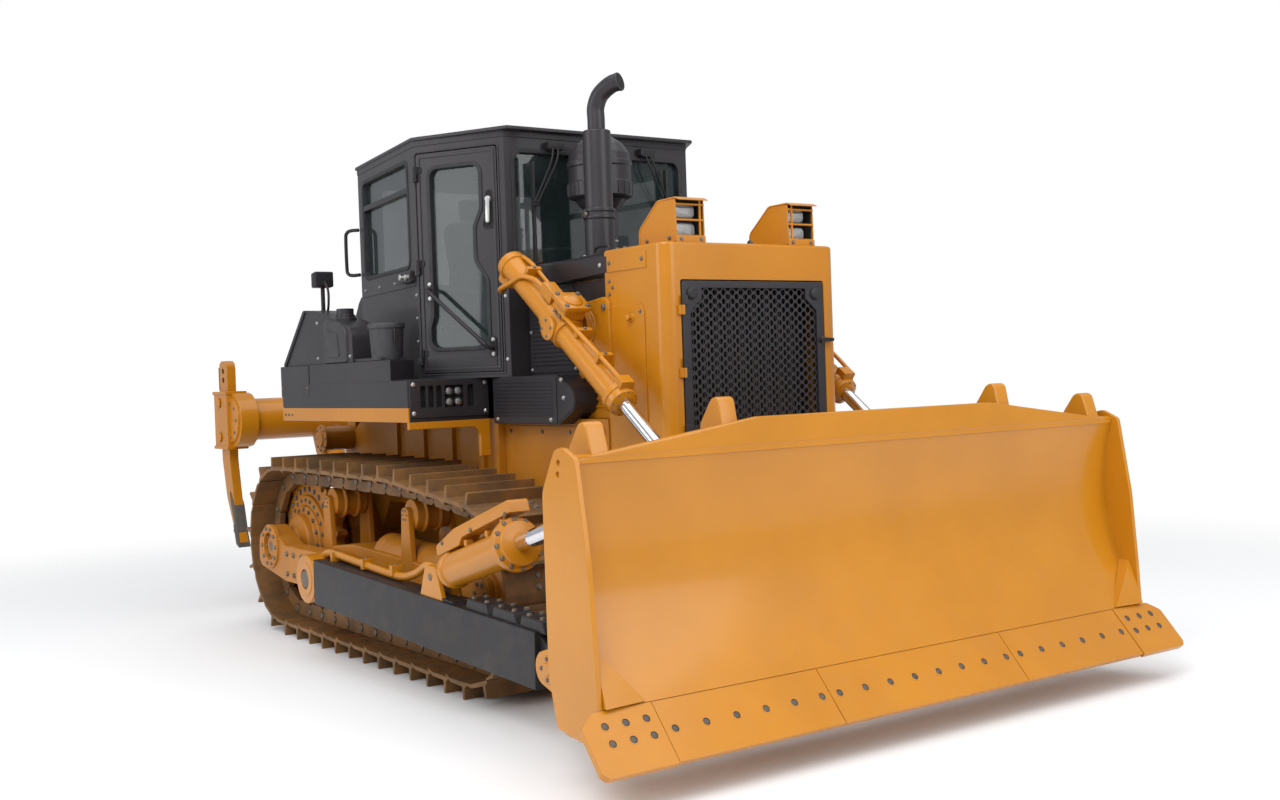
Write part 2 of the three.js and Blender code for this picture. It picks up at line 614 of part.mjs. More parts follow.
function cowl() {
  const side = [[COWL_REAR_Y, DECK_LOW], [COWL_REAR_Y, 2290, 60], [COWL_FRONT_Y + 200, 2240], [COWL_FRONT_Y, 2240, 20],
    [COWL_FRONT_Y, DECK_LOW]];
  const body = slab(side, -540, 540);
  const hollow = slab(
    [[COWL_REAR_Y - 60, DECK_LOW - 10], [COWL_REAR_Y - 60, 2180], [COWL_FRONT_Y - 10, 2180],
      [COWL_FRONT_Y - 10, DECK_LOW - 10]],
    -500, 500,
  );
  const boxes = [-1, 1].map((s) => {
    const box = slab(
      [[-2105, 1452], [-2105, DECK_TOP], [-2820, DECK_TOP, 10], [-3010, 1640, 90], [-3010, 1540, 60], [-2830, 1452]],
      s > 0 ? SIDE_PANEL_IN : -700, s > 0 ? 700 : -SIDE_PANEL_IN,
    );
    return box;
  });
  const ledges = [-1, 1].map((s) => block(s * 520, s * 560, COWL_FRONT_Y + 5, COWL_REAR_Y - 5, DECK_LOW + 10, DECK_TOP - 10));
  const hullRoom = block(-HULL_HALF - SEAT, HULL_HALF + SEAT, -3100, -2000, 1400, DECK_LOW);
  return join(cut(body, hollow), ...ledges, ...boxes.map((box) => cut(box, hullRoom)));
}

function exhaustStack() {
  const at = [-340, -2766];
  const base = bar([...at, 2376 + SEAT], [...at, 2640], 86, 16);
  const clamp = bar([...at, 2610], [...at, 2660], 92, 16);
  const muffler = bar([...at, 2640], [...at, 3105], 80, 16);
  const route = new THREE.CatmullRomCurve3([
    new THREE.Vector3(at[0], at[1], 3090), new THREE.Vector3(at[0], at[1], 3200),
    new THREE.Vector3(at[0] + 4, at[1] - 8, 3270), new THREE.Vector3(at[0] + 30, at[1] - 70, 3330),
    new THREE.Vector3(at[0] + 50, at[1] - 120, 3357),
  ]);
  const section = new THREE.Shape();
  section.absarc(0, 0, 50, 0, 2 * Math.PI);
  const pipe = new THREE.ExtrudeGeometry(section, { steps: 10, extrudePath: route, curveSegments: 8 });
  return join(base, clamp, muffler, pipe);
}

function precleaner() {
  const at = [-150, -2500];
  const points = [[0, 0], [95, 0], [95, 380], [188, 385], [192, 590], [170, 680], [100, 745], [0, 760]];
  const bowl = new THREE.LatheGeometry(points.map(([r, z]) => new THREE.Vector2(r, z)), 18);
  return bowl.rotateX(Math.PI / 2).translate(at[0], at[1], 2376 + SEAT);
}

function headlamp() {
  const x0 = -470;
  const x1 = -285;
  const y = GUARD_FRONT_Y + 40;
  const z = GUARD_TOP + SEAT;
  const outer = slab([[y, z], [y, z + 232, 15], [y + 150, z + 232, 60], [y + 330, z + 60, 60], [y + 330, z]], x0, x1);
  const inner = slab([[y - 10, z + 30], [y - 10, z + 200], [y + 130, z + 200], [y + 130, z + 30]], x0 + 22, x1 - 22);
  const lamps = [75, 150].map((h) => bar([(x0 + x1) / 2, y + 135, z + h], [(x0 + x1) / 2, y + 60, z + h], 36, 12, 40));
  return join(cut(outer, inner), ...lamps);
}

// ---------------------------------------------------------------- fenders and tanks
function fender() {
  const low = block(-FENDER_OUT, -FENDER_IN, FENDER_FRONT_Y, FENDER_REAR_Y, DECK_LOW, DECK_TOP);
  const high = plate(
    [[-FENDER_OUT, FENDER_REAR_Y], [-FENDER_OUT, BOX_FRONT_Y], [-BOX_IN, BOX_FRONT_Y + 120], [-BOX_IN, FENDER_REAR_Y]],
    DECK_TOP - 10, BOX_TOP,
  );
  const grille = block(-FENDER_OUT + 60, -FENDER_IN - 60, FENDER_FRONT_Y - 1, FENDER_FRONT_Y + 30, 1565, 1705);
  const legIn = -FENDER_IN - 60;
  const arch = panel(
    [[-FENDER_OUT, DECK_LOW + 1], [-FENDER_OUT, DECK_LOW - 30], [legIn, DECK_LOW - 30, 60], [legIn, 1260],
      [-FENDER_IN, 1260], [-FENDER_IN, DECK_LOW + 1]],
    FENDER_FRONT_Y, FENDER_FRONT_Y + 25,
  );
  return join(cut(join(low, high), grille), arch);
}

function hydraulicTank() {
  const z = BOX_TOP + SEAT;
  const tank = slab(
    [[FENDER_REAR_Y - 10, z], [-1250, z], [-1250, 2060, 60], [-800, 2180, 60], [-640, 2205, 40], [-470, 2205, 40]],
    -FENDER_OUT + 12, -1010,
  );
  const cap = bar([-1120, -950, 2110], [-1120, -950, 2200], 55, 12);
  const bucket = bar([-1120, -1560, z], [-1120, -1560, 2075], 92, 14, 102);
  const foot = block(-1200, -1030, -1640, -1240, z, z + 20);
  return join(tank, cap, bucket, foot);
}

function batteryBox() {
  const z = BOX_TOP + SEAT;
  return slab(
    [[FENDER_REAR_Y - 10, z], [-1500, z], [-1500, 2060, 60], [-900, 2180, 60], [-640, 2205, 40], [-470, 2205, 40]],
    1010, FENDER_OUT - 12,
  );
}

function fuelTank() {
  return join(
    slab(
      [[-480, DECK_LOW], [-480, 2330, 80], [-250, 2330, 120], [60, 1900, 80], [60, DECK_LOW, 60]],
      -FENDER_IN + SEAT, FENDER_IN - SEAT,
    ),
    bar([-380, -360, 2320], [-380, -360, 2400], 60, 12),
  );
}

// ---------------------------------------------------------------- cab
const cabRight = [CAB_REAR, CAB_MID, CAB_FRONT];
const flip = ([x, y]) => [-x, y];
const cabPlan = [...cabRight, ...cabRight.map(flip).reverse()];

// Moves the six walls of the cab's plan inwards (or outwards, if negative).
function inset(points, distance) {
  const n = points.length;
  const centreY = points.reduce((sum, p) => sum + p[1], 0) / n;
  const walls = points.map((p, i) => {
    const q = points[(i + 1) % n];
    const length = span(p, q);
    let out = [(q[1] - p[1]) / length, -(q[0] - p[0]) / length];
    if (out[0] * p[0] + out[1] * (p[1] - centreY) < 0) out = out.map((v) => -v);
    return { out, reach: out[0] * p[0] + out[1] * p[1] - distance };
  });
  return points.map((_, i) => {
    const a = walls[(i + n - 1) % n];
    const b = walls[i];
    const det = a.out[0] * b.out[1] - a.out[1] * b.out[0];
    return [
      (a.reach * b.out[1] - b.reach * a.out[1]) / det,
      (a.out[0] * b.reach - b.out[0] * a.reach) / det,
    ];
  });
}

// Places an outline drawn on a wall (distance along it, height) between two plan corners.
function onWall(points, from, to, depthIn, depthOut, steps) {
  const along = new THREE.Vector3(to[0] - from[0], to[1] - from[1], 0).normalize();
  const out = along.clone().cross(Z);
  const frame = new THREE.Matrix4().makeBasis(along, Z, out);
  return flat(outline(points, steps), depthIn + depthOut)
    .translate(0, 0, -depthIn)
    .applyMatrix4(frame)
    .translate(from[0], from[1], 0);
}

const doorLeaf = [[DOOR_FROM, DOOR_LOW], [DOOR_TO, DOOR_LOW], [DOOR_TO, DOOR_TOP, 15], [DOOR_FROM, DOOR_TOP, 15]];
const doorHole = doorLeaf.map(([a, b, r]) => [
  a + (a === DOOR_FROM ? -DOOR_GAP : DOOR_GAP),
  b + (b === DOOR_LOW ? -DOOR_GAP : DOOR_GAP),
  r,
]);
const doorWindow = [
  [85, 1905, 60], [500, 1905, 60], [500, 2300, 60], [420, 2420, 80], [420, 2620, 80], [470, 2720, 60],
  [470, 2990, 60], [110, 2990, 60], [110, 2100, 80], [85, 2040, 60],
];
const sideWindow = [[110, 2420, 50], [1090, 2420, 50], [1090, 3060, 50], [110, 3060, 50]];

function shrink(points, by) {
  const middle = points.reduce((s, p) => [s[0] + p[0] / points.length, s[1] + p[1] / points.length], [0, 0]);
  return points.map(([a, b, r]) => [a + (a < middle[0] ? by : -by), b + (b < middle[1] ? by : -by), r]);
}

const frontWindow = [[60, 2310, 60], [1270, 2310, 60], [1270, 3050, 60], [60, 3050, 60]];
const rearWindow = [[150, 2380, 60], [1450, 2380, 60], [1450, 3050, 60], [150, 3050, 60]];

const wallLine = {
  doorRight: [CAB_MID, CAB_FRONT],
  sideRight: [CAB_REAR, CAB_MID],
  front: [CAB_FRONT, flip(CAB_FRONT)],
  rear: [flip(CAB_REAR), CAB_REAR],
};

// The door's hinge: upright knuckles, the shell's below and the door's above, at three heights.
function doorKnuckles(onDoor) {
  return DOOR_HINGE_Z.flatMap((z) => {
    const low = onDoor ? z + SEAT : z - 45;
    const [from, to] = onDoor ? [DOOR_FROM + 2, DOOR_FROM + 18] : [2, DOOR_FROM - DOOR_GAP];
    const reach = DOOR_PIN_OUT + (onDoor ? 0 : DOOR_KNUCKLE_R * 0.6);
    const strap = onWall([[from, low], [to, low], [to, low + 45], [from, low + 45]], ...wallLine.doorRight, 10, reach);
    return [upright(onWallAt(DOOR_FROM, DOOR_PIN_OUT), low, low + 45, DOOR_KNUCKLE_R, 10), strap];
  });
}

// A plan point by its distance along the right door's wall and outside it.
function onWallAt(along, out) {
  const [from, to] = wallLine.doorRight;
  return ahead(from, to, along, -out);
}

function cabShell() {
  const outer = plate(cabPlan, CAB_LOW, CAB_TOP - SEAT);
  const inner = plate(inset(cabPlan, CAB_WALL), CAB_LOW + 40, CAB_TOP + 10);
  const through = (points, [from, to]) => onWall(points, from, to, CAB_WALL + 20, 14);
  const rightHoles = [through(doorHole, wallLine.doorRight), through(sideWindow, wallLine.sideRight)];
  const shell = cut(
    outer, inner, ...rightHoles, ...rightHoles.map(mirrored),
    through(frontWindow, wallLine.front), through(rearWindow, wallLine.rear),
  );
  const knuckles = doorKnuckles(false);
  return join(shell, ...knuckles, ...knuckles.map(mirrored));
}

function cabRoof() {
  const low = plate(inset(cabPlan, -4), CAB_TOP, CAB_TOP + 40);
  const edge = inset(cabPlan, -14);
  const visor = plate(edge.map(([x, y]) => [x, y < -2000 ? y - 46 : y]), CAB_TOP + 36, ROOF_TOP - 20);
  const crown = plate(inset(cabPlan, 120), ROOF_TOP - 25, ROOF_TOP);
  return join(low, visor, crown);
}

const pane = (points, [from, to]) =>
  onWall(shrink(points, SEAT * 2), from, to, CAB_WALL / 2 + GLASS / 2, -CAB_WALL / 2 + GLASS / 2);

function cabDoor() {
  const leaf = onWall(doorLeaf, ...wallLine.doorRight, DOOR_THICK, 4);
  return join(cut(leaf, onWall(doorWindow, ...wallLine.doorRight, DOOR_THICK + 20, 14)), ...doorKnuckles(true));
}

const doorGlass = () =>
  onWall(shrink(doorWindow, SEAT * 2), ...wallLine.doorRight, DOOR_THICK / 2 + GLASS / 2, -DOOR_THICK / 2 + GLASS / 2);

function operatorSeat() {
  const z = CAB_LOW + 40 + SEAT;
  const pedestal = block(-190, 190, -1250, -900, z, z + 330);
  const base = slab([[-1320, z + 320], [-1320, z + 440, 40], [-820, z + 420, 40], [-820, z + 320]], -270, 270);
  const back = slab([[-900, z + 400], [-800, z + 400], [-660, z + 1000, 40], [-770, z + 1020, 40]], -250, 250);
  return join(pedestal, base, back);
}

function controlConsole() {
  const z = CAB_LOW + 40 + SEAT;
  const dash = slab([[-2200, z], [-2200, z + 560, 40], [-2080, z + 640, 40], [-1960, z + 520, 40], [-2060, z]], -380, 380);
  const bridge = block(-460, -300, -2100, -900, z, z + 40);
  const side = slab([[-1450, z], [-1450, z + 500, 40], [-900, z + 560, 40], [-900, z]], -460, -320);
  return join(dash, bridge, side);
}

// ---------------------------------------------------------------- grille door
function grilleDoor() {
  const y0 = GUARD_FRONT_Y - 4;
  const y1 = y0 + GRILLE_THICK;
  const corner = 60;
  const frame = panel(
    [[-GRILLE_HALF, GRILLE_LOW], [GRILLE_HALF, GRILLE_LOW], [GRILLE_HALF, GRILLE_TOP - corner],
      [GRILLE_HALF - corner, GRILLE_TOP], [-GRILLE_HALF + corner, GRILLE_TOP], [-GRILLE_HALF, GRILLE_TOP - corner]],
    y0, y1,
  );
  const recess = block(-GRILLE_HALF + 45, GRILLE_HALF - 45, y0 - 5, y0 + 14, GRILLE_LOW + 45, GRILLE_TOP - 62);
  return join(cut(frame, recess), ...grilleKnuckles(1));
}

// ---------------------------------------------------------------- blade
// The moldboard's hollow face as an arc from the cutting edge's seam to the top edge.
function boardCurve(offset = 0, steps = 8) {
  const chord = span(EDGE_TOP, BLADE_TOP);
  const radius = (chord * chord) / (8 * BOARD_SAG) + BOARD_SAG / 2;
  const middle = between(EDGE_TOP, BLADE_TOP, 0.5);
  const dy = (BLADE_TOP[0] - EDGE_TOP[0]) / chord;
  const dz = (BLADE_TOP[1] - EDGE_TOP[1]) / chord;
  const centre = [middle[0] - dz * (radius - BOARD_SAG), middle[1] + dy * (radius - BOARD_SAG)];
  const start = Math.atan2(EDGE_TOP[1] - centre[1], EDGE_TOP[0] - centre[0]);
  const end = Math.atan2(BLADE_TOP[1] - centre[1], BLADE_TOP[0] - centre[0]);
  return Array.from({ length: steps + 1 }, (_, k) => {
    const a = start + ((end - start) * k) / steps;
    return [centre[0] + (radius + offset) * Math.cos(a), centre[1] + (radius + offset) * Math.sin(a)];
  });
}

const BLADE_BACK = -4395; // rear edge of the end plates

function blade() {
  const half = BLADE_HALF;
  const face = boardCurve(0);
  const rear = boardCurve(BOARD_THICK).reverse();
  const board = slab([...face, ...rear], -half + 10, half - 10);
  const [topY, topZ] = BLADE_TOP;
  const crown = panel(
    [[-half + 30, topZ - 30], [half - 30, topZ - 30], [770, CROWN, 40], [-770, CROWN, 40]],
    topY + 2, topY + 2 + BOARD_THICK,
  );
  const edgeBack = slab(
    [ahead(EDGE_TOP, EDGE_LOW, EDGE_BACKED, SEAT), ahead(EDGE_TOP, EDGE_LOW, 0, SEAT), [EDGE_TOP[0] + 40, EDGE_TOP[1] + 30],
      [-4480, 520, 40], [-4480, 240, 30], [-4700, 228], ahead(EDGE_TOP, EDGE_LOW, EDGE_BACKED, 36)],
    -half + 10, half - 10,
  );
  const topBox = slab(
    [[topY + 20, topZ - 15], [topY + 20, topZ - 130], [-4445, topZ - 130, 20], [-4445, topZ - 40, 30]],
    -half + 10, half - 10,
  );
  const midBox = slab([[-4600, 640], [-4450, 640, 20], [-4450, 860, 20], [-4590, 860]], -half + 10, half - 10);
  const ends = [-1, 1].map((side) => {
    const x0 = side > 0 ? half - 25 : -half;
    return slab(
      [ahead(EDGE_TOP, EDGE_LOW, 0, SEAT), [-4758, 402], [-4745, 626], [-4717, 983], [-4650, 1392, 60],
        [-4530, 1430, 70], [BLADE_BACK, 1300, 60], [BLADE_BACK, 480, 60], [-4450, 260, 40], [-4700, 228],
        ahead(EDGE_TOP, EDGE_LOW, EDGE_BACKED, 36), ahead(EDGE_TOP, EDGE_LOW, EDGE_BACKED, SEAT)],
      x0, x0 + 25,
    );
  });
  const stiffeners = [160 - half, -900, 900, half - 160].map((x) =>
    slab(
      [[-4650, 300], [-4610, 640], [-4585, 900], [-4600, 1250], [topY - 5, topZ - 20], [-4560, topZ + 100, 50],
        [-4440, topZ - 30, 40], [-4435, 340, 40]],
      x - 55, x + 55,
    ),
  );
  const liftLugs = [-1, 1].flatMap((side) =>
    [-1, 1].map((plateSide) => {
      const x = side * LIFT_X + plateSide * LUG_SPREAD;
      return slab(
        [[-4560, 640], [-4560, 1240], [-4460, 1240], [LIFT_EYE[0] + 70, LIFT_EYE[1] + 60, 60],
          [LIFT_EYE[0] + 70, LIFT_EYE[1] - 60, 60], [-4460, 640]],
        x - 14, x + 14,
      );
    }),
  );
  const ears = [-1, 1].flatMap((side) =>
    [ARM_IN - 34, ARM_OUT + 12].map((inner) => {
      const x0 = side > 0 ? inner : -inner - 22;
      return slab(
        [[-4500, 300], [-4500, 560], [BALL[0] - 60, BALL[1] + 110, 60], [BALL[0] + 110, BALL[1] + 60, 80],
          [BALL[0] + 110, BALL[1] - 60, 80], [BALL[0] - 60, BALL[1] - 110, 60]],
        x0, x0 + 22,
      );
    }),
  );
  const tiltEars = [-1, 1].flatMap((side) =>
    [-97, 72].map((offset) => {
      const x0 = side * TILT_X + offset;
      return slab(
        [[-4620, 1000], [-4620, 1340], [-4450, 1340], [TILT_EYE[0] + 80, TILT_EYE[1] + 60, 50],
          [TILT_EYE[0] + 80, TILT_EYE[1] - 60, 50], [-4450, 1000]],
        x0, x0 + 25,
      );
    }),
  );
  const behind = slab([...boardCurve(5), [-4200, 1389], [-4200, 386]], -half, half);
  const fitted = surface(
    [...stiffeners, ...liftLugs, topBox, midBox, ...tiltEars].map(solid).reduce((a, b) => a.add(b))
      .intersect(solid(join(behind, block(-half, half, -4640, -4200, 1350, 1600)))),
  );
  const ballX = (ARM_IN + ARM_OUT) / 2;
  const pins = [-1, 1].map((side) => crossBar(side * ballX - 95, side * ballX + 95, BALL, ARM_PIN_R, 12));
  return join(board, crown, edgeBack, ...ends, fitted, ...ears, ...pins, ball(ballX, BALL, ARM_BALL_R));
}

function cuttingEdges() {
  const gap = 3; // to the lower end of the moldboard
  return slab(
    [EDGE_LOW, ahead(EDGE_TOP, EDGE_LOW, gap), ahead(EDGE_TOP, EDGE_LOW, gap, -EDGE_THICK),
      ahead(EDGE_LOW, EDGE_TOP, 6, EDGE_THICK)],
    -BLADE_WIDTH / 2, BLADE_WIDTH / 2,
  );
}

// ---------------------------------------------------------------- push arms and struts
// One push arm on the machine's right. Its boss takes the blade's ball, or on the loose side only its pin.
function pushArm(loose) {
  const middle = -(ARM_IN + ARM_OUT) / 2;
  const beamBox = beam(TRUNNION, BALL, -ARM_OUT, -ARM_IN, -ARM_HEIGHT / 2, ARM_HEIGHT / 2, -130, -170);
  const rearEye = crossBar(-ARM_OUT, -ARM_IN, TRUNNION, 150, 16);
  const nose = slab(
    [ahead(TRUNNION, BALL, 2700, -130), ahead(TRUNNION, BALL, 2880, -70), ahead(TRUNNION, BALL, 2880, 70),
      ahead(TRUNNION, BALL, 2700, 130)],
    -ARM_OUT + 30, -ARM_IN - 30,
  );
  const boss = crossBar(middle - ARM_EYE_HALF, middle + ARM_EYE_HALF, BALL, ARM_EYE_R, 14);
  const socket = loose
    ? crossBar(middle - 60, middle + 60, BALL, ARM_LOOSE_R, 14)
    : ball(middle, BALL, ARM_BALL_R + BALL_RUN);
  const bracket = [-62, 34].map((offset) =>
    slab(
      [[TILT_FOOT[0] + 150, TILT_FOOT[1] - 160], [TILT_FOOT[0] + 60, TILT_FOOT[1] + 60, 50],
        [TILT_FOOT[0] - 60, TILT_FOOT[1] + 60, 50], [TILT_FOOT[0] - 150, TILT_FOOT[1] - 160]],
      -TILT_X + offset, -TILT_X + offset + 28,
    ),
  );
  const pin = crossBar(-TILT_X - 60, -TILT_X + 60, TILT_FOOT, STRUT_PIN_R, 10);
  const hole = bore(-ARM_OUT - 20, -ARM_IN + 20, TRUNNION, TRUNNION_R);
  return join(
    cut(join(beamBox, rearEye, nose, boss), hole, socket),
    ...bracket, pin, ball(-TILT_X, TILT_FOOT, STRUT_BALL_R),
  );
}

function strutParts() {
  const length = span(TILT_FOOT, TILT_EYE);
  const at = (d) => {
    const [y, z] = ahead(TILT_FOOT, TILT_EYE, d);
    return [-TILT_X, y, z];
  };
  const foot = crossBar(-TILT_X - STRUT_FOOT_HALF, -TILT_X + STRUT_FOOT_HALF, TILT_FOOT, 62, 14);
  const socket = ball(-TILT_X, TILT_FOOT, STRUT_BALL_R + BALL_RUN);
  const neck = bar(at(50), at(170), STRUT_FOOT_HALF, 12);
  const gland = 900;
  const barrel = cut(
    join(foot, neck, bar(at(150), at(gland), TILT_BARREL_R, 14), bar(at(gland - 90), at(gland), 135, 14)),
    socket, bar(at(300), at(gland + 10), TILT_ROD_R + RUN, 12),
  );
  const eye = crossBar(-TILT_X - STRUT_EYE_HALF, -TILT_X + STRUT_EYE_HALF, TILT_EYE, 66, 14);
  const rod = join(bar(at(420), at(length - 30), TILT_ROD_R, 12), eye);
  const brace = cut(
    join(
      foot, neck, bar(at(150), at(620), 62, 12), bar(at(600), at(1150), 80, 14),
      bar(at(1100), at(length - 30), TILT_ROD_R, 12), eye,
    ),
    socket,
  );
  return { barrel, rod, brace };
}

function liftCylinder() {
  const length = span(LIFT_YOKE, LIFT_EYE);
  const at = (d) => {
    const [y, z] = ahead(LIFT_YOKE, LIFT_EYE, d);
    return [-LIFT_X, y, z];
  };
  const head = -640;
  const gland = 700;
  const barrel = cut(
    join(
      bar(at(head), at(gland), LIFT_BARREL_R, 14),
      bar(at(-60), at(60), LIFT_BARREL_R + 18, 14),
      bar(at(head - 30), at(head + 40), LIFT_BARREL_R + 14, 14),
      crossBar(-LIFT_X, -YOKE_FACE - SEAT, LIFT_YOKE, 55, 12),
    ),
    bar(at(head + 60), at(gland + 10), LIFT_ROD_R + RUN, 12),
  );
  const rod = join(
    bar(at(gland - 620), at(length - 30), LIFT_ROD_R, 12),
    crossBar(-LIFT_X - 45, -LIFT_X + 45, LIFT_EYE, 62, 14),
  );
  return { barrel, rod };
}

// ---------------------------------------------------------------- ripper
const RIP_UPPER = [RIP_PIVOT[0], RIP_PIVOT[1] + RIP_PITCH];
const RIP_UPPER_HEEL = [RIP_HEEL[0], RIP_HEEL[1] + RIP_PITCH];
const RIP_BEAM = [1395, 1463];

const bored = (shape, x0, x1, ...centres) =>
  cut(shape, ...centres.map((at) => bore(x0 - 10, x1 + 10, at, RIP_PIN_R)));

function ripperLowerLink() {
  const arms = [[-370, -290], [290, 370]].map(([x0, x1]) =>
    bored(
      join(
        crossBar(x0, x1, RIP_PIVOT, 75, 14), beam(RIP_PIVOT, RIP_HEEL, x0, x1, -70, 70),
        crossBar(x0, x1, RIP_HEEL, 75, 14),
      ),
      x0, x1, RIP_PIVOT, RIP_HEEL,
    ),
  );
  return join(...arms, crossBar(-300, 300, ahead(RIP_PIVOT, RIP_HEEL, 330), 62, 12));
}

function ripperUpperLink() {
  const half = 85;
  return bored(
    join(
      crossBar(-half, half, RIP_UPPER, 66, 14), beam(RIP_UPPER, RIP_UPPER_HEEL, -70, 70, -50, 50),
      crossBar(-half, half, RIP_UPPER_HEEL, 66, 14),
    ),
    -half, half, RIP_UPPER, RIP_UPPER_HEEL,
  );
}

function ripperBeam() {
  const tube = crossBar(-RIP_HALF, RIP_HALF, RIP_BEAM, 163, 16);
  const collars = [-1, 1].map((side) => crossBar(side * (RIP_HALF - 140), side * RIP_HALF, RIP_BEAM, 213, 18));
  const [heelY, heelZ] = RIP_HEEL;
  const [beamY, beamZ] = RIP_BEAM;
  const lowEars = [[-410, -380], [-280, -250], [250, 280], [380, 410]].map(([x0, x1]) =>
    slab([[heelY - 70, heelZ - 60, 50], [heelY - 70, heelZ + 60, 50], [beamY, beamZ], [beamY + 100, beamZ - 60],
      [heelY + 70, heelZ - 70, 50]], x0, x1),
  );
  const [topY, topZ] = RIP_UPPER_HEEL;
  const topEars = [[-125, -95], [95, 125]].map(([x0, x1]) =>
    slab([[topY - 70, topZ + 60, 50], [topY + 70, topZ + 60, 50], [beamY + 100, beamZ + 60],
      [beamY - 60, beamZ]], x0, x1),
  );
  const pins = [
    crossBar(-410, -250, RIP_HEEL, RIP_PIN_R, PIN_SIDES), crossBar(250, 410, RIP_HEEL, RIP_PIN_R, PIN_SIDES),
    crossBar(-125, 125, RIP_UPPER_HEEL, RIP_PIN_R, PIN_SIDES),
  ];
  const shankY = beamY + 175;
  const shanks = SHANK_X.flatMap((x) => [
    slab(
      [[shankY - 95, 1930, 60], [shankY + 95, 1930, 60], [shankY + 95, 1150], [shankY + 20, 850, 200],
        [shankY - 180, 500], [shankY - 250, 470, 20], [shankY - 150, 800, 200], [shankY - 80, 1150]],
      x - 35, x + 35,
    ),
    block(x - 75, x + 75, beamY, shankY + 125, beamZ - 220, beamZ + 220),
  ]);
  return join(tube, ...collars, ...lowEars, ...topEars, ...shanks, ...pins);
}

function ripperCylinder() {
  const x = -RIP_CYLINDER_X;
  const length = span(RIP_UPPER, RIP_HEEL);
  const at = (d) => {
    const [y, z] = ahead(RIP_UPPER, RIP_HEEL, d);
    return [x, y, z];
  };
  const body = join(
    crossBar(x - 45, x + 45, RIP_UPPER, 75, 14), bar(at(0), at(110), 34, 12), bar(at(95), at(640), 72, 14),
    bar(at(600), at(660), 80, 14),
  );
  const barrel = cut(bored(body, x - 45, x + 45, RIP_UPPER), bar(at(110), at(670), 40 + RUN, 12));
  const rod = join(bar(at(130), at(length - 40), 40, 12), crossBar(x - 24, x + 24, RIP_HEEL, RIP_EYE_R, 14));
  return { barrel, rod };
}

// ---------------------------------------------------------------- assembly
add("hull", paint.chassis, hullBody());
add("engine_block", paint.chassis, engineBlock());
add("radiator_guard", paint.yellow, radiatorGuard());
add("radiator_core", paint.black, radiatorCore());
addPair("engine_panel", paint.yellow, enginePanel());
add("hood", paint.graphite, hood());
add("cowl", paint.graphite, cowl());
add("exhaust_stack", paint.graphite, exhaustStack());
add("precleaner", paint.graphite, precleaner());
addPair("headlamp", paint.yellow, headlamp());
addPair("fender", paint.graphite, fender());
add("hydraulic_tank", paint.graphite, hydraulicTank());
add("battery_box", paint.graphite, batteryBox());
add("fuel_tank", paint.graphite, fuelTank());
add("cab_shell", paint.graphite, cabShell());
add("cab_roof", paint.graphite, cabRoof());
add("windshield", paint.glass, pane(frontWindow, wallLine.front));
add("rear_glass", paint.glass, pane(rearWindow, wallLine.rear));
addPair("side_glass", paint.glass, pane(sideWindow, wallLine.sideRight));
addPair("cab_door", paint.graphite, cabDoor());
addPair("door_glass", paint.glass, doorGlass());
add("operator_seat", paint.black, operatorSeat());
add("control_console", paint.black, controlConsole());
addPair("track_frame", paint.chassis, trackFrame());
addPair("track", paint.steel, trackLoop());
addPair("sprocket", paint.chassis, sprocket());
addPair("final_drive", paint.chassis, finalDrive());
addPair("idler", paint.chassis, idler());
add("equalizer_bar", paint.chassis, equalizerBar());
add("grille_door", paint.graphite, grilleDoor());
add("push_arm_right", paint.graphite, pushArm(true));
add("push_arm_left", paint.graphite, mirrored(pushArm(false)));
add("blade", paint.yellow, blade());
add("cutting_edges", paint.yellow, cuttingEdges());
const strut = strutParts();
add("tilt_barrel", paint.yellow, strut.barrel);
add("tilt_rod", paint.chrome, strut.rod);
add("brace_left", paint.yellow, mirrored(strut.brace));
const lift = liftCylinder();
addPair("lift_barrel", paint.yellow, lift.barrel);
addPair("lift_rod", paint.chrome, lift.rod);
add("ripper_lower_link", paint.yellow, ripperLowerLink());
add("ripper_upper_link", paint.yellow, ripperUpperLink());
add("ripper_beam", paint.yellow, ripperBeam());
const ripper = ripperCylinder();
addPair("ripper_barrel", paint.yellow, ripper.barrel);
addPair("ripper_rod", paint.chrome, ripper.rod);

// The origin: on the ground, under the middle of the machine's box.
const shiftY = -new THREE.Box3().setFromObject(root).getCenter(new THREE.Vector3()).y;
root.position.y = shiftY;

// Where the joints turn and what they reach, in the finished part's own frame.
const shifted = ([y, z]) => [y + shiftY, z];
export const pivots = {
  trunnion: shifted(TRUNNION), ball: shifted(BALL), ballX: (ARM_IN + ARM_OUT) / 2,
  liftYoke: shifted(LIFT_YOKE), liftEye: shifted(LIFT_EYE), liftX: LIFT_X,
  tiltFoot: shifted(TILT_FOOT), tiltEye: shifted(TILT_EYE), tiltX: TILT_X,
  ripPivot: shifted(RIP_PIVOT), ripUpper: shifted(RIP_UPPER), ripHeel: shifted(RIP_HEEL),
  ripUpperHeel: shifted(RIP_UPPER_HEEL),
  doorHinge: CAB_MID, doorToward: CAB_FRONT, doorFrom: DOOR_FROM, doorPin: DOOR_PIN_OUT,
  ripX: RIP_CYLINDER_X, grilleHinge: GRILLE_HINGE, shiftY, edgeLow: shifted(EDGE_LOW),
};

export default root;
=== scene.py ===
"""The finish of a crawler bulldozer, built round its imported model.

Lengths are in millimetres in the machine's own frame: X to its left, Y back from the sprocket axle and Z up.
"""

import json
import math

import bmesh
import bpy
from mathutils import Matrix, Vector
from mathutils.geometry import tessellate_polygon

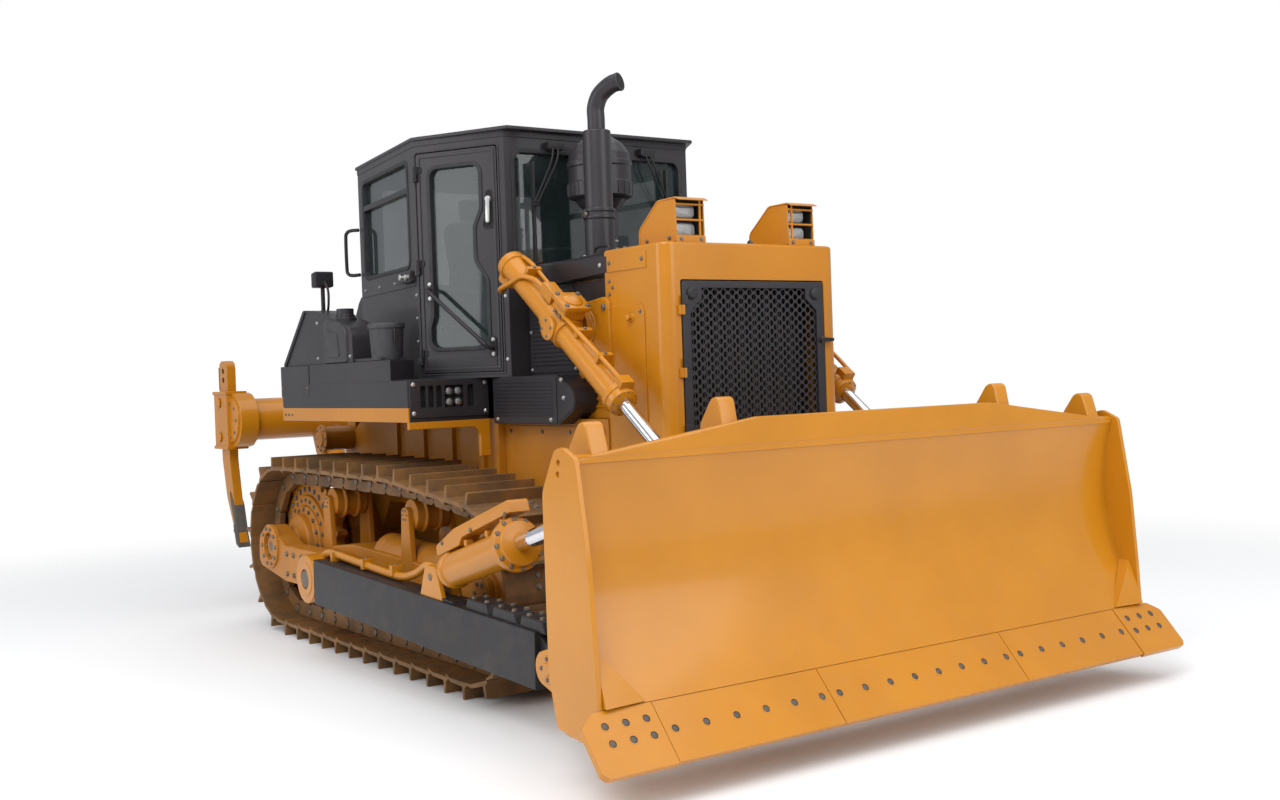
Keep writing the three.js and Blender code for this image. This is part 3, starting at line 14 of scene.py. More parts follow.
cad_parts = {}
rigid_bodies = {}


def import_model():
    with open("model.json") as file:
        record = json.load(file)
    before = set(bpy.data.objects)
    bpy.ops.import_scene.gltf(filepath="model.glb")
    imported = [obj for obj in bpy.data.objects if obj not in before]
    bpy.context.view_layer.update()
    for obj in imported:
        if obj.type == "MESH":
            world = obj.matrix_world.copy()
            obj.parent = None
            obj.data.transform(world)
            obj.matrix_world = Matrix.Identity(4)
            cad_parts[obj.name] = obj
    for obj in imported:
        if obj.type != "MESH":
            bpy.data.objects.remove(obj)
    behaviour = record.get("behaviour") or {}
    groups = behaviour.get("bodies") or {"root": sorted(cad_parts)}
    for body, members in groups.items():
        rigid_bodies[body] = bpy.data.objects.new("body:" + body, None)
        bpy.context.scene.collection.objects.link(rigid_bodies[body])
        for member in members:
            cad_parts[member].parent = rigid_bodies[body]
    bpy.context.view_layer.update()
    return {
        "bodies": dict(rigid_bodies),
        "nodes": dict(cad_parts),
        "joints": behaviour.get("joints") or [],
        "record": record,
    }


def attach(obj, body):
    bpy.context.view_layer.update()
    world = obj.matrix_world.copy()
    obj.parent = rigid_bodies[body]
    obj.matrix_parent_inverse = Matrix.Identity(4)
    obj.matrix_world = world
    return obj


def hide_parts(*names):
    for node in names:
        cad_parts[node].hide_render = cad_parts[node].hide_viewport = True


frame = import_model()
scene = bpy.context.scene
joints = {joint["name"]: joint for joint in frame["joints"]}

MM = 0.001
RIGHT, AHEAD, BEHIND = (-1, 0, 0), (0, -1, 0), (0, 1, 0)
UP, DOWN = (0, 0, 1), (0, 0, -1)
RIPPER_PIVOT = (450, 760)  # y and z, as all pairs below
AXLE_Y = joints["ripper_lift"]["pos_m"][1] - RIPPER_PIVOT[0] * MM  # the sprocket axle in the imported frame


# ---------------------------------------------------------------- shader maths
class Value:
    """A shader socket that takes part in Python expressions."""

    def __init__(self, shader, socket):
        self.shader = shader
        self.socket = socket

    def _math(self, operation, *inputs):
        return self.shader.node("ShaderNodeMath", {"operation": operation}, inputs)["Value"]

    def __add__(self, other):
        return self._math("ADD", self, other)

    __radd__ = __add__

    def __mul__(self, other):
        return self._math("MULTIPLY", self, other)

    __rmul__ = __mul__

    def __sub__(self, other):
        return self._math("SUBTRACT", self, other)

    def __rsub__(self, other):
        return self._math("SUBTRACT", other, self)

    def above(self, low, high):
        """0 below low, 1 over high, smooth between."""
        made = self.shader.node(
            "ShaderNodeMapRange", {"interpolation_type": "SMOOTHSTEP"},
            {"Value": self, "From Min": low, "From Max": high},
        )
        return made["Result"]


class Shader:
    """One material with a Principled surface."""

    def __init__(self, name):
        self.material = bpy.data.materials.new(name)
        self.material.use_nodes = True
        self.tree = self.material.node_tree
        self.surface = self.tree.nodes["Principled BSDF"]
        self.coordinates = self.node("ShaderNodeTexCoord", {}, {})["Object"]

    def node(self, kind, settings, inputs):
        made = self.tree.nodes.new(kind)
        for key, value in settings.items():
            if key == "stops":
                ramp = made.color_ramp
                while len(ramp.elements) < len(value):
                    ramp.elements.new(0.5)
                for element, (place, colour) in zip(ramp.elements, value):
                    element.position = place
                    element.color = (*colour, 1)
            else:
                setattr(made, key, value)
        pairs = inputs.items() if isinstance(inputs, dict) else enumerate(inputs)
        for key, value in pairs:
            self.feed(made.inputs[key], value)
        return {socket.name: Value(self, socket) for socket in made.outputs if socket.enabled}

    def feed(self, socket, value):
        if isinstance(value, Value):
            self.tree.links.new(value.socket, socket)
        elif socket.type == "RGBA" and len(value) == 3:
            socket.default_value = (*value, 1)
        else:
            socket.default_value = value

    def set(self, **inputs):
        names = {key.replace("_", " ").title(): value for key, value in inputs.items()}
        for key, value in names.items():
            self.feed(self.surface.inputs[key.replace("Ior", "IOR")], value)

    def noise(self, scale, detail=3, roughness=0.55, stretch=None):
        where = self.coordinates
        if stretch:
            where = self.node("ShaderNodeMapping", {}, {"Vector": where, "Scale": stretch})["Vector"]
        inputs = {"Vector": where, "Scale": scale, "Detail": detail, "Roughness": roughness}
        made = self.node("ShaderNodeTexNoise", {}, inputs)
        return made["Fac"] if "Fac" in made else made["Factor"]

    def mix(self, share, first, second):
        inputs = {"Factor": share, 6: first, 7: second}
        made = self.tree.nodes.new("ShaderNodeMix")
        made.data_type = "RGBA"
        for key, value in inputs.items():
            self.feed(made.inputs[key], value)
        return Value(self, made.outputs[2])

    def height(self):
        return self.node("ShaderNodeSeparateXYZ", {}, {"Vector": self.coordinates})["Z"]

    def bump(self, height, strength, distance):
        made = self.node("ShaderNodeBump", {}, {"Height": height, "Strength": strength, "Distance": distance})
        self.set(normal=made["Normal"])


DUST = (0.33, 0.215, 0.115)


def paint(name, colour, shade, roughness, coat, dust=0.0, dust_top=1.4, gloss=0.35):
    """Sprayed enamel: a slow drift of tone, orange peel, and dust that fades upwards."""
    shader = Shader(name)
    drift = shader.noise(1.7, 4).above(0.3, 0.7)
    tone = shader.mix(drift, colour, shade)
    grime = shader.noise(9, 6, 0.65).above(0.42, 0.75)
    low = 1 - shader.height().above(0.05, dust_top)
    film = grime * (0.25 + low * 0.75) * dust
    shader.set(
        base_color=shader.mix(film, tone, DUST),
        roughness=film * 0.45 + (roughness + shader.noise(30, 3) * 0.1),
        coat_weight=coat, coat_roughness=0.12, specular_ior_level=gloss,
    )
    peel = shader.noise(260, 2) * 0.6 + shader.noise(45, 2) * 0.4
    shader.bump(peel, 0.12, 0.0012)
    return shader.material


def steel(name, colour, shade, roughness, metallic, scratches=0.0):
    """Bare or blackened metal with cloudy tone and fine scratches along X."""
    shader = Shader(name)
    cloud = shader.noise(6, 6, 0.62).above(0.32, 0.68)
    fine = shader.noise(60, 3, 0.6, stretch=(0.25, 6, 6))
    shader.set(
        base_color=shader.mix(cloud, colour, shade),
        roughness=roughness + cloud * 0.12 + fine * 0.1,
        metallic=metallic,
    )
    shader.bump(shader.noise(120, 3) * 0.5 + fine * scratches, 0.2, 0.0015)
    return shader.material


def chrome_rod():
    shader = Shader("hard_chrome")
    oil = shader.noise(20, 4, 0.6).above(0.45, 0.8)
    shader.set(
        base_color=shader.mix(oil, (0.78, 0.79, 0.82), (0.6, 0.59, 0.57)),
        metallic=1.0, roughness=0.07 + oil * 0.12,
    )
    return shader.material


def plastic(name, colour, shade, roughness, grain_scale, grain=0.25):
    """Moulded plastic or rubber with a grained skin."""
    shader = Shader(name)
    shader.set(
        base_color=shader.mix(shader.noise(12, 4).above(0.35, 0.7), colour, shade),
        roughness=roughness + shader.noise(25, 2) * 0.12,
    )
    cells = shader.node("ShaderNodeTexVoronoi", {}, {"Vector": shader.coordinates, "Scale": grain_scale})
    shader.bump(cells["Distance"], grain, 0.001)
    return shader.material


def glass(name, tint_and_interior_shade, alpha):
    """Tinted safety glass: thin, glossy and about half clear; its dark colour and part opacity are partly
    real tint and partly painted shade for the dark cab behind it.
    """
    shader = Shader(name)
    film = shader.noise(3, 3).above(0.4, 0.75)
    shader.set(
        base_color=tint_and_interior_shade, roughness=0.03 + film * 0.05, alpha=alpha + film * 0.05,
        coat_weight=0.6, coat_roughness=0.02,
    )
    return shader.material


def lamp_glass():
    shader = Shader("lamp_glass")
    shader.set(
        base_color=(0.3, 0.3, 0.29), roughness=0.16 + shader.noise(8, 3) * 0.06, metallic=0.55,
        coat_weight=0.5,
    )
    flutes = shader.node(
        "ShaderNodeTexWave", {"wave_type": "BANDS", "bands_direction": "X"},
        {"Vector": shader.coordinates, "Scale": 45.0, "Distortion": 0.2},
    )
    shader.bump(flutes["Fac"] if "Fac" in flutes else flutes["Factor"], 0.35, 0.002)
    return shader.material


def rubber_seat():
    shader = Shader("seat_vinyl")
    folds = shader.noise(14, 4, 0.6)
    shader.set(
        base_color=shader.mix(folds.above(0.35, 0.7), (0.022, 0.022, 0.025), (0.04, 0.04, 0.043)),
        roughness=0.5 + folds * 0.15, sheen_weight=0.2,
    )
    cells = shader.node("ShaderNodeTexVoronoi", {}, {"Vector": shader.coordinates, "Scale": 320.0})
    shader.bump(cells["Distance"] * 0.6 + folds * 0.8, 0.35, 0.002)
    return shader.material


YELLOW = (0.5, 0.188, 0.005)
FINISHES = {
    "yellow": paint("yellow_enamel", YELLOW, (0.45, 0.166, 0.004), 0.27, 0.3, 0.12),
    # board: the yellow enamel made a little lighter as a painted sheen for the blade's brightly lit face; its
    # glossier coat is real
    "board": paint("moldboard_enamel_painted_sheen", (0.51, 0.198, 0.006), (0.46, 0.175, 0.005), 0.26, 0.35, 0.08),
    # chassis: the yellow enamel darkened as painted shade for the undercarriage beneath the machine; the
    # heavier dust low down is real dirt
    "chassis": paint("chassis_enamel_painted_shade", (0.45, 0.162, 0.006), (0.38, 0.135, 0.005), 0.4, 0.1, 0.45, 1.1),
    "graphite": paint("graphite_enamel", (0.026, 0.0225, 0.026), (0.02, 0.018, 0.021), 0.36, 0.12, 0.05),
    "black": paint("black_enamel", (0.016, 0.015, 0.017), (0.022, 0.020, 0.022), 0.34, 0.05, 0.08, gloss=0.2),
    "track": steel("track_steel", (0.25, 0.12, 0.036), (0.14, 0.078, 0.034), 0.46, 0.3, 0.7),
    "iron": steel("cast_iron", (0.09, 0.085, 0.08), (0.14, 0.12, 0.10), 0.55, 0.6, 0.3),
    "bolt": steel("bolt_steel", (0.16, 0.13, 0.10), (0.24, 0.20, 0.16), 0.4, 0.7, 0.1),
    "zinc": steel("plated_steel", (0.55, 0.55, 0.53), (0.42, 0.42, 0.41), 0.28, 0.9, 0.2),
    "chrome": chrome_rod(),
    "rubber": plastic("gasket_rubber", (0.012, 0.012, 0.013), (0.02, 0.02, 0.021), 0.6, 500),
    "plastic": plastic("moulded_plastic", (0.028, 0.027, 0.030), (0.038, 0.036, 0.040), 0.45, 700),
    # dark: near-black used as painted shade in holes, recesses, vents and openings, and as the monitor's real
    # screen face
    "dark": plastic("painted_shade_and_screen_black", (0.006, 0.006, 0.006), (0.01, 0.01, 0.01), 0.8, 200),
    # dark tint and part opacity: real tint plus painted shade for the dark cab seen through the glass
    "glass": glass("cab_glass_tint_and_shade", (0.022, 0.034, 0.034), 0.55),
    "lamp": lamp_glass(),
    "seat": rubber_seat(),
}


# ---------------------------------------------------------------- shapes
def rounded(points, fine=1.0, closed=True):
    """An outline through (a, b) or (a, b, radius) points, with arcs at the rounded corners."""
    made = []
    count = len(points)
    for i, point in enumerate(points):
        here = Vector(point[:2])
        ends = not closed and i in (0, count - 1)
        if len(point) < 3 or not point[2] or ends:
            made.append(here)
            continue
        back = (Vector(points[i - 1][:2]) - here)
        on = (Vector(points[(i + 1) % count][:2]) - here)
        limit = min(back.length, on.length) * 0.495
        back.normalize()
        on.normalize()
        half = math.acos(max(-1, min(1, back.dot(on)))) / 2
        if half > 1.55 or half < 0.02:
            made.append(here)
            continue
        radius = min(point[2], limit * math.tan(half))
        centre = here + (back + on).normalized() * radius / math.sin(half)
        start = here + back * radius / math.tan(half) - centre
        end = here + on * radius / math.tan(half) - centre
        first = math.atan2(start.y, start.x)
        turn = (math.atan2(end.y, end.x) - first + math.pi) % (2 * math.pi) - math.pi
        steps = max(2, round(abs(turn) * fine * max(2.2, math.sqrt(radius) * 0.55)))
        for k in range(steps + 1):
            angle = first + turn * k / steps
            made.append(centre + Vector((math.cos(angle), math.sin(angle))) * radius)
    return made


def oblong(a, b, radius=0):
    """A rectangle's outline between two values each way."""
    return [(a[0], b[0], radius), (a[1], b[0], radius), (a[1], b[1], radius), (a[0], b[1], radius)]


def area(loop):
    return sum(p.x * q.y - q.x * p.y for p, q in zip(loop, loop[1:] + loop[:1])) / 2


def grown(loop, distance):
    """The closed outline moved outwards along its corners' bisectors, for an anticlockwise loop."""
    made = []
    count = len(loop)
    for i, here in enumerate(loop):
        a = (here - loop[i - 1]).normalized()
        b = (loop[(i + 1) % count] - here).normalized()
        normal = Vector((a.y + b.y, -a.x - b.x))
        scale = 1 + a.dot(b)
        made.append(here + normal * distance / max(scale, 0.35))
    return made


ASKEW = Matrix.Rotation(0.37, 3, "Z")  # no two holes in a row lie level while a face is filled

PLANES = {
    "yz": Matrix(((0, 0, 1), (1, 0, 0), (0, 1, 0))),  # outline in y and z, depth along X
    "xz": Matrix(((1, 0, 0), (0, 0, 1), (0, 1, 0))),  # outline in x and z, depth along Y
    "xy": Matrix(((1, 0, 0), (0, 1, 0), (0, 0, 1))),  # outline in x and y, depth along Z
}


def towards(direction):
    """A rotation that turns Z to a direction."""
    return Vector(direction).to_track_quat("Z", "Y").to_matrix()


class Assembly:
    """Faces gathered from many shapes, each with a finish, made into one object."""

    def __init__(self):
        self.points = []
        self.faces = []
        self.finishes = []

    def add(self, finish, points, faces):
        start = len(self.points)
        self.points += [Vector(p) for p in points]
        self.faces += [tuple(start + i for i in face) for face in faces]
        self.finishes += [finish] * len(faces)
        return self

    def prism(self, finish, loops, low, high, bevel=4, plane="yz", fine=1.0, frame=None):
        """Outlines (the first outside, the rest holes) given a depth, with rounded edges."""
        turn = frame or PLANES[plane].to_4x4()
        if not isinstance(loops[0], list):
            loops = [loops]
        loops = [rounded(loop, fine) for loop in loops]
        loops = [loop if (area(loop) > 0) == (i == 0) else loop[::-1] for i, loop in enumerate(loops)]
        bevel = min(bevel, abs(high - low) * 0.45)
        rings = [(0, low), (0, high)]
        if bevel:
            soft = bevel * (1 - math.sqrt(0.5))
            rings = [(-bevel, low), (-soft, low + soft), (0, low + bevel)]
            rings += [(0, high - bevel), (-soft, high - soft), (-bevel, high)]
        points = []
        faces = []
        bottom = []
        top = []
        for loop in loops:
            base = len(points)
            count = len(loop)
            for inset, depth in rings:
                points += [(p.x, p.y, depth) for p in (grown(loop, inset) if inset else loop)]
            for ring in range(len(rings) - 1):
                for i in range(count):
                    a = base + ring * count + i
                    b = base + ring * count + (i + 1) % count
                    faces.append((a, b, b + count, a + count))
            last = base + (len(rings) - 1) * count
            bottom.append([(Vector(points[base + i]), base + i) for i in range(count)])
            top.append([(Vector(points[last + i]), last + i) for i in range(count)])
        for caps, up in ((bottom, False), (top, True)):
            index = [i for loop in caps for _, i in loop]
            flat = [[ASKEW @ Vector((p.x, p.y, 0)) for p, _ in loop] for loop in caps]
            for tri in tessellate_polygon(flat):
                a, b, c = (index[i] for i in tri)
                pa, pb, pc = (Vector(points[i][:2]) for i in (a, b, c))
                positive = (pb - pa).cross(pc - pa) > 0
                faces.append((a, b, c) if positive == up else (c, b, a))
        turned = [turn @ Vector(p) for p in points]
        if turn.to_3x3().determinant() < 0:
            faces = [face[::-1] for face in faces]
        return self.add(finish, turned, faces)

    def block(self, finish, x, y, z, bevel=4):
        return self.prism(finish, oblong(x, y), z[0], z[1], bevel, "xy")

    def turned(self, finish, start, end, profile, sides=32, fine=1.0):
        """A turned shape: (distance, radius[, rounding]) along the line from start towards end."""
        start = Vector(start)
        direction = (Vector(end) - start).normalized()
        turn = towards(direction)
        line = rounded(profile, fine, closed=False)
        points = []
        rings = []
        for distance, radius in line:
            if radius < 1e-6:
                rings.append([len(points)])
                points.append(start + direction * distance)
                continue
            rings.append(list(range(len(points), len(points) + sides)))
            for k in range(sides):
                angle = 2 * math.pi * k / sides
                points.append(
                    start
                    + turn @ Vector((radius * math.cos(angle), radius * math.sin(angle), distance))
                )
        faces = []
        for first, second in zip(rings, rings[1:]):
            if len(first) == 1 and len(second) == 1:
                continue
            for k in range(sides):
                a, b = first[k % len(first)], first[(k + 1) % len(first)]
                c, d = second[(k + 1) % len(second)], second[k % len(second)]
                faces.append(tuple(dict.fromkeys((a, b, c, d))))
        if rings and len(rings[0]) > 1:
            faces.append(tuple(reversed(rings[0])))
        if rings and len(rings[-1]) > 1:
            faces.append(tuple(rings[-1]))
        return self.add(finish, points, faces)

    def spun(self, finish, at, direction, profile, sides=32, fine=1.0):
        """A turned shape that starts at a point and runs in a direction."""
        return self.turned(finish, at, Vector(at) + Vector(direction), profile, sides, fine)

    def rod(self, finish, start, end, radius, sides=24, edge=3):
        length = (Vector(end) - Vector(start)).length
        edge = min(edge, radius * 0.4, length * 0.4)
        return self.turned(finish, start, end, [
            (0, 0), (0, radius, edge), (length, radius, edge), (length, 0),
        ], sides)

    def ring(self, finish, start, end, radius, hole, sides=32, edge=3):
        """A short tube, open along its axis."""
        length = (Vector(end) - Vector(start)).length
        direction = (Vector(end) - Vector(start)).normalized()
        turn = towards(direction)
        profile = [
            (0, hole), (0, radius - edge), (edge, radius), (length - edge, radius), (length, radius - edge),
            (length, hole),
        ]
        count = len(profile)
        points = [
            Vector(start) + turn @ Vector(
                (r * math.cos(2 * math.pi * k / sides), r * math.sin(2 * math.pi * k / sides), d)
            )
            for d, r in profile
            for k in range(sides)
        ]
        faces = []
        for i in range(count):
            for k in range(sides):
                a = i * sides + k
                b = i * sides + (k + 1) % sides
                c = ((i + 1) % count) * sides + (k + 1) % sides
                d = ((i + 1) % count) * sides + k
                faces.append((a, b, c, d))
        return self.add(finish, points, faces)

    def pipe(self, finish, route, radius, sides=12, steps=6):
        """A round pipe or hose along a smooth curve through the route."""
        route = [Vector(p) for p in route]
        line = []
        for i in range(len(route) - 1):
            p0, p1, p2 = route[max(i - 1, 0)], route[i], route[i + 1]
            p3 = route[min(i + 2, len(route) - 1)]
            for k in range(steps):
                t = k / steps
                line.append(
                    (p1 * 2 + (p2 - p0) * t + (p0 * 2 - p1 * 5 + p2 * 4 - p3) * t * t
                     + (p1 * 3 - p0 - p2 * 3 + p3) * t ** 3) / 2
                )
        line.append(route[-1])
        side = None
        points = []
        for i, here in enumerate(line):
            along = (line[min(i + 1, len(line) - 1)] - line[max(i - 1, 0)]).normalized()
            side = along.orthogonal() if side is None else side - along * side.dot(along)
            side.normalize()
            other = along.cross(side)
            for k in range(sides):
                angle = 2 * math.pi * k / sides
                points.append(here + (side * math.cos(angle) + other * math.sin(angle)) * radius)
        faces = []
        for i in range(len(line) - 1):
            for k in range(sides):
                a = i * sides + k
                b = i * sides + (k + 1) % sides
                faces.append((a, b, b + sides, a + sides))
        faces.append(tuple(range(sides))[::-1])
        faces.append(tuple(range(len(points) - sides, len(points))))
        return self.add(finish, points, faces)

    def bolt(self, finish, at, direction, size=18):
        """A hexagon head on its washer."""
        direction = Vector(direction).normalized()
        at = Vector(at)
        self.turned(finish, at, at + direction, [
            (-3, size * 1.25), (size * 0.14, size * 1.25), (size * 0.2, size * 1.15), (size * 0.2, 0),
        ], 20)
        head = [(size * 0.15, size), (size * 0.72, size), (size * 0.85, size * 0.84), (size * 0.85, 0)]
        return self.turned(finish, at, at + direction, head, 6)

    def bolts(self, finish, places, direction, size=18):
        for at in places:
            self.bolt(finish, at, direction, size)
        return self

    def bolt_circle(self, finish, x, at, radius, count, out, size):
        """Bolts round a (y, z) point on a face square to X."""
        return self.bolts(finish, [(x, *place) for place in circle(at, radius, count)], (out, 0, 0), size)

    def merge(self, other, matrix=None):
        points = [matrix @ p for p in other.points] if matrix else other.points
        start = len(self.points)
        self.points += points
        self.faces += [tuple(start + i for i in face) for face in other.faces]
        self.finishes += other.finishes
        return self

    def mirrored(self):
        made = Assembly()
        made.points = [Vector((-p.x, p.y, p.z)) for p in self.points]
        made.faces = [face[::-1] for face in self.faces]
        made.finishes = list(self.finishes)
        return made

    def finish(self, name, body, slot, nodes=(), sharp=32):
        """Makes the object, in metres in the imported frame, and rides it on its body."""
        mesh = bpy.data.meshes.new(name)
        mesh.from_pydata([(p.x * MM, p.y * MM + AXLE_Y, p.z * MM) for p in self.points], [], self.faces)
        used = sorted(set(self.finishes))
        for key in used:
            mesh.materials.append(FINISHES[key])
        order = {key: i for i, key in enumerate(used)}
        mesh.polygons.foreach_set("material_index", [order[key] for key in self.finishes])
        mesh.validate()
        mesh.shade_smooth()
        mesh.set_sharp_from_angle(angle=math.radians(sharp))
        made = bpy.data.objects.new(name, mesh)
        scene.collection.objects.link(made)
        flat = made.modifiers.new("flat_faces", "WEIGHTED_NORMAL")
        flat.keep_sharp = True
        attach(made, body)
        if nodes:
            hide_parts(*nodes)
        return made


def both(assembly, name, slot, node=None, body="tractor"):
    """The right-hand piece and its mirror image, each in place of its node."""
    for side, shape in (("right", assembly), ("left", assembly.mirrored())):
        nodes = [f"{node}_{side}"] if node else []
        shape.finish(f"{name}_{side}", f"{body}_{side}" if body != "tractor" else body, slot, nodes)


def ahead(start, end, distance, side=0):
    """The (y, z) point at a distance from start towards end, moved square to that line."""
    length = math.dist(start, end)
    dy = (end[0] - start[0]) / length
    dz = (end[1] - start[1]) / length
    return (start[0] + dy * distance - dz * side, start[1] + dz * distance + dy * side)


def arc(centre, radius, first, last, steps):
    """Points on a circle between two angles in degrees."""
    angles = [math.radians(first + (last - first) * k / steps) for k in range(steps + 1)]
    return [(centre[0] + radius * math.cos(a), centre[1] + radius * math.sin(a)) for a in angles]


def circle(centre, radius, steps=24):
    return arc(centre, radius, 0, 360 - 360 / steps, steps - 1)


def softened(node, body, slot, finish, width=6, extra=None):
    """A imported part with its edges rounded, in place of the plain one; extra shapes are made part of it."""
    shape = bmesh.new()
    shape.from_mesh(frame["nodes"][node].data)
    bmesh.ops.remove_doubles(shape, verts=shape.verts, dist=0.00005)
    bmesh.ops.dissolve_limit(
        shape, angle_limit=math.radians(0.6), use_dissolve_boundaries=False, verts=shape.verts,
        edges=shape.edges, delimit={"NORMAL"},
    )
    sharp = [
        edge
        for edge in shape.edges
        if len(
            edge.link_faces
        ) == 2 and edge.calc_face_angle(0) > math.radians(38) and edge.calc_length() > 0.002
    ]
    bmesh.ops.bevel(
        shape, geom=sharp, offset=width * MM, offset_type="OFFSET", segments=2, profile=0.5, affect="EDGES",
        clamp_overlap=True, harden_normals=False,
    )
    bmesh.ops.triangulate(shape, faces=[face for face in shape.faces if len(face.verts) > 4])
    made = Assembly()
    shape.verts.ensure_lookup_table()
    made.points = [Vector((v.co.x / MM, (v.co.y - AXLE_Y) / MM, v.co.z / MM)) for v in shape.verts]
    made.faces = [tuple(v.index for v in face.verts) for face in shape.faces]
    made.finishes = [finish] * len(made.faces)
    shape.free()
    if extra:
        made.merge(extra)
    return made.finish(node + "_shape", body, slot, [node])


def carved(shape, finish, cutters):
    """A closed shape with other closed shapes cut out of it."""
    def solid(part):
        mesh = bpy.data.meshes.new("carving")
        mesh.from_pydata(part.points, [], part.faces)
        made = bpy.data.objects.new("carving", mesh)
        scene.collection.objects.link(made)
        return made

    objects = [solid(part) for part in (shape, *cutters)]
    for cutter in objects[1:]:
        modifier = objects[0].modifiers.new("cut", "BOOLEAN")
        modifier.operation = "DIFFERENCE"
        modifier.solver = "EXACT"
        modifier.object = cutter
    bpy.context.view_layer.update()
    mesh = objects[0].evaluated_get(bpy.context.evaluated_depsgraph_get()).to_mesh()
    made = Assembly().add(finish, [v.co for v in mesh.vertices], [
        tuple(face.vertices) for face in mesh.polygons
    ])
    for old in objects:
        bpy.data.objects.remove(old)
    return made


# ---------------------------------------------------------------- undercarriage
TRACK_X = -1000  # middle of the right-hand track
SPROCKET = (0, 615)
IDLER = (-2730, 565)
CARRIERS = [(-590, 936), (-1780, 926)]
WHEELS = [(SPROCKET, 470), (IDLER, 420)] + [(axle, 155) for axle in CARRIERS]  # to the track's pin line
SHOES = 38
ROLLERS = [(-560 - 348 * k, 310.5) for k in range(6)]


def tight_belt(wheels):
    """The convex line round wheels, anticlockwise."""
    cloud = sorted(point for centre, radius in wheels for point in circle(centre, radius, 180))

    def chain(points):
        kept = []
        for p in points:
            while len(kept) > 1:
                (ay, az), (by, bz) = kept[-2:]
                if (by - ay) * (p[1] - az) - (bz - az) * (p[0] - ay) > 1e-6:
                    break
                kept.pop()
            kept.append(p)
        return kept[:-1]

    return chain(cloud) + chain(cloud[::-1])


def shoe_places():
    """Each shoe's middle, its direction and the pitch."""
    line = tight_belt(WHEELS)
    lengths = [math.dist(p, line[(i + 1) % len(line)]) for i, p in enumerate(line)]
    total = sum(lengths)

    def point(distance):
        distance %= total
        i = 0
        while distance > lengths[i]:
            distance -= lengths[i]
            i += 1
        return ahead(line[i], line[(i + 1) % len(line)], distance)

    pitch = total / SHOES
    places = []
    for k in range(SHOES):
        before, after = point(k * pitch), point((k + 1) * pitch)
        middle = point((k + 0.5) * pitch)
        bow = ((before[0] + after[0]) / 2, (before[1] + after[1]) / 2)
        at = ((middle[0] * 0.5 + bow[0] * 0.5), (middle[1] * 0.5 + bow[1] * 0.5))
        places.append((at, math.atan2(after[1] - before[1], after[0] - before[0])))
    return places, pitch


def track_shoe(pitch):
    """One shoe on its two links, lying along Y with its grouser up."""
    link = Assembly()
    half = pitch / 2
    plate = [
        (-half - 3, 50), (-half - 3, 62, 6), (-half + 16, 73, 8), (-83, 76, 6), (-78, 145, 3),
        (-59, 145, 3), (-54, 76, 6), (half - 30, 73, 10), (half + 10, 54, 10), (half + 30, 40, 4),
        (half + 26, 33, 3), (half, 42, 8), (half - 30, 50, 6), (-half + 6, 50, 4),
    ]
    link.prism("track", plate, -280, 280, 3)
    side = [
        (-half - 14, -22, 22), (-half - 14, 24, 14), (-half + 10, 46, 6), (half - 10, 46, 6),
        (half + 14, 24, 14), (half + 14, -22, 22), (half - 24, -58, 20), (-half + 24, -58, 20),
    ]
    for x0, x1 in ((-110, -68), (68, 110)):
        link.prism("track", side, x0, x1, 4)
    link.rod("bolt", (-118, -half, 0), (118, -half, 0), 21, 14, 4)
    link.rod("track", (-66, -half, 0), (66, -half, 0), 33, 16, 3)
    link.bolts("bolt", [(x, y, 73) for x in (-90, 90) for y in (-14, 52)], UP, 15)
    return link


def track_loop():
    places, pitch = shoe_places()
    shoe = track_shoe(pitch)
    made = Assembly()
    for (y, z), angle in places:
        along = Vector((0, math.cos(angle), math.sin(angle)))
        out = Vector((0, along.z, -along.y))
        turn = Matrix(((-1, 0, 0), along, out)).transposed().to_4x4()
        made.merge(shoe, Matrix.Translation((TRACK_X, y, z)) @ turn)
    return made


def sprocket():
    teeth = 27
    points = []
    for k in range(teeth):
        for share, radius, round_by in ((0.02, 430, 14), (0.32, 430, 14), (0.54, 494, 10), (0.8, 494, 10)):
            angle = (k + share) * 2 * math.pi / teeth
            points.append((radius * math.cos(angle), SPROCKET[1] + radius * math.sin(angle), round_by))
    made = Assembly()
    made.prism("chassis", [points, circle(SPROCKET, 300, 48)], TRACK_X - 37, TRACK_X + 37, 4)
    made.ring("chassis", (TRACK_X - 60, *SPROCKET), (TRACK_X + 60, *SPROCKET), 332, 262, 48, 6)
    for side in (-1, 1):
        made.bolt_circle("bolt", TRACK_X + side * 37, SPROCKET, 372, 27, side, 17)
    made.bolt_circle("bolt", TRACK_X - 60, SPROCKET, 297, 24, -1, 13)
    return made


def final_drive():
    made = Assembly()
    start, end = (-650.3, *SPROCKET), (-1325, *SPROCKET)
    made.turned("chassis", start, end, [
        (0, 0), (0, 345), (150, 345, 20), (165, 325, 10), (209, 325, 8), (209, 259), (422, 259, 14),
        (430, 205, 14), (480, 198, 20), (500, 110, 20), (520, 94), (660, 94, 12), (674, 60, 6), (674, 0),
    ], 64)
    made.spun("bolt", (-1318, *SPROCKET), RIGHT, [(0, 0), (0, 40), (7, 38, 3), (7, 0)], 24)
    made.bolt_circle("bolt", -858, SPROCKET, 302, 20, -1, 14)
    made.bolt_circle("bolt", -1078, SPROCKET, 232, 16, -1, 13)
    made.bolt_circle("bolt", -1319, SPROCKET, 80, 8, -1, 9)
    return made


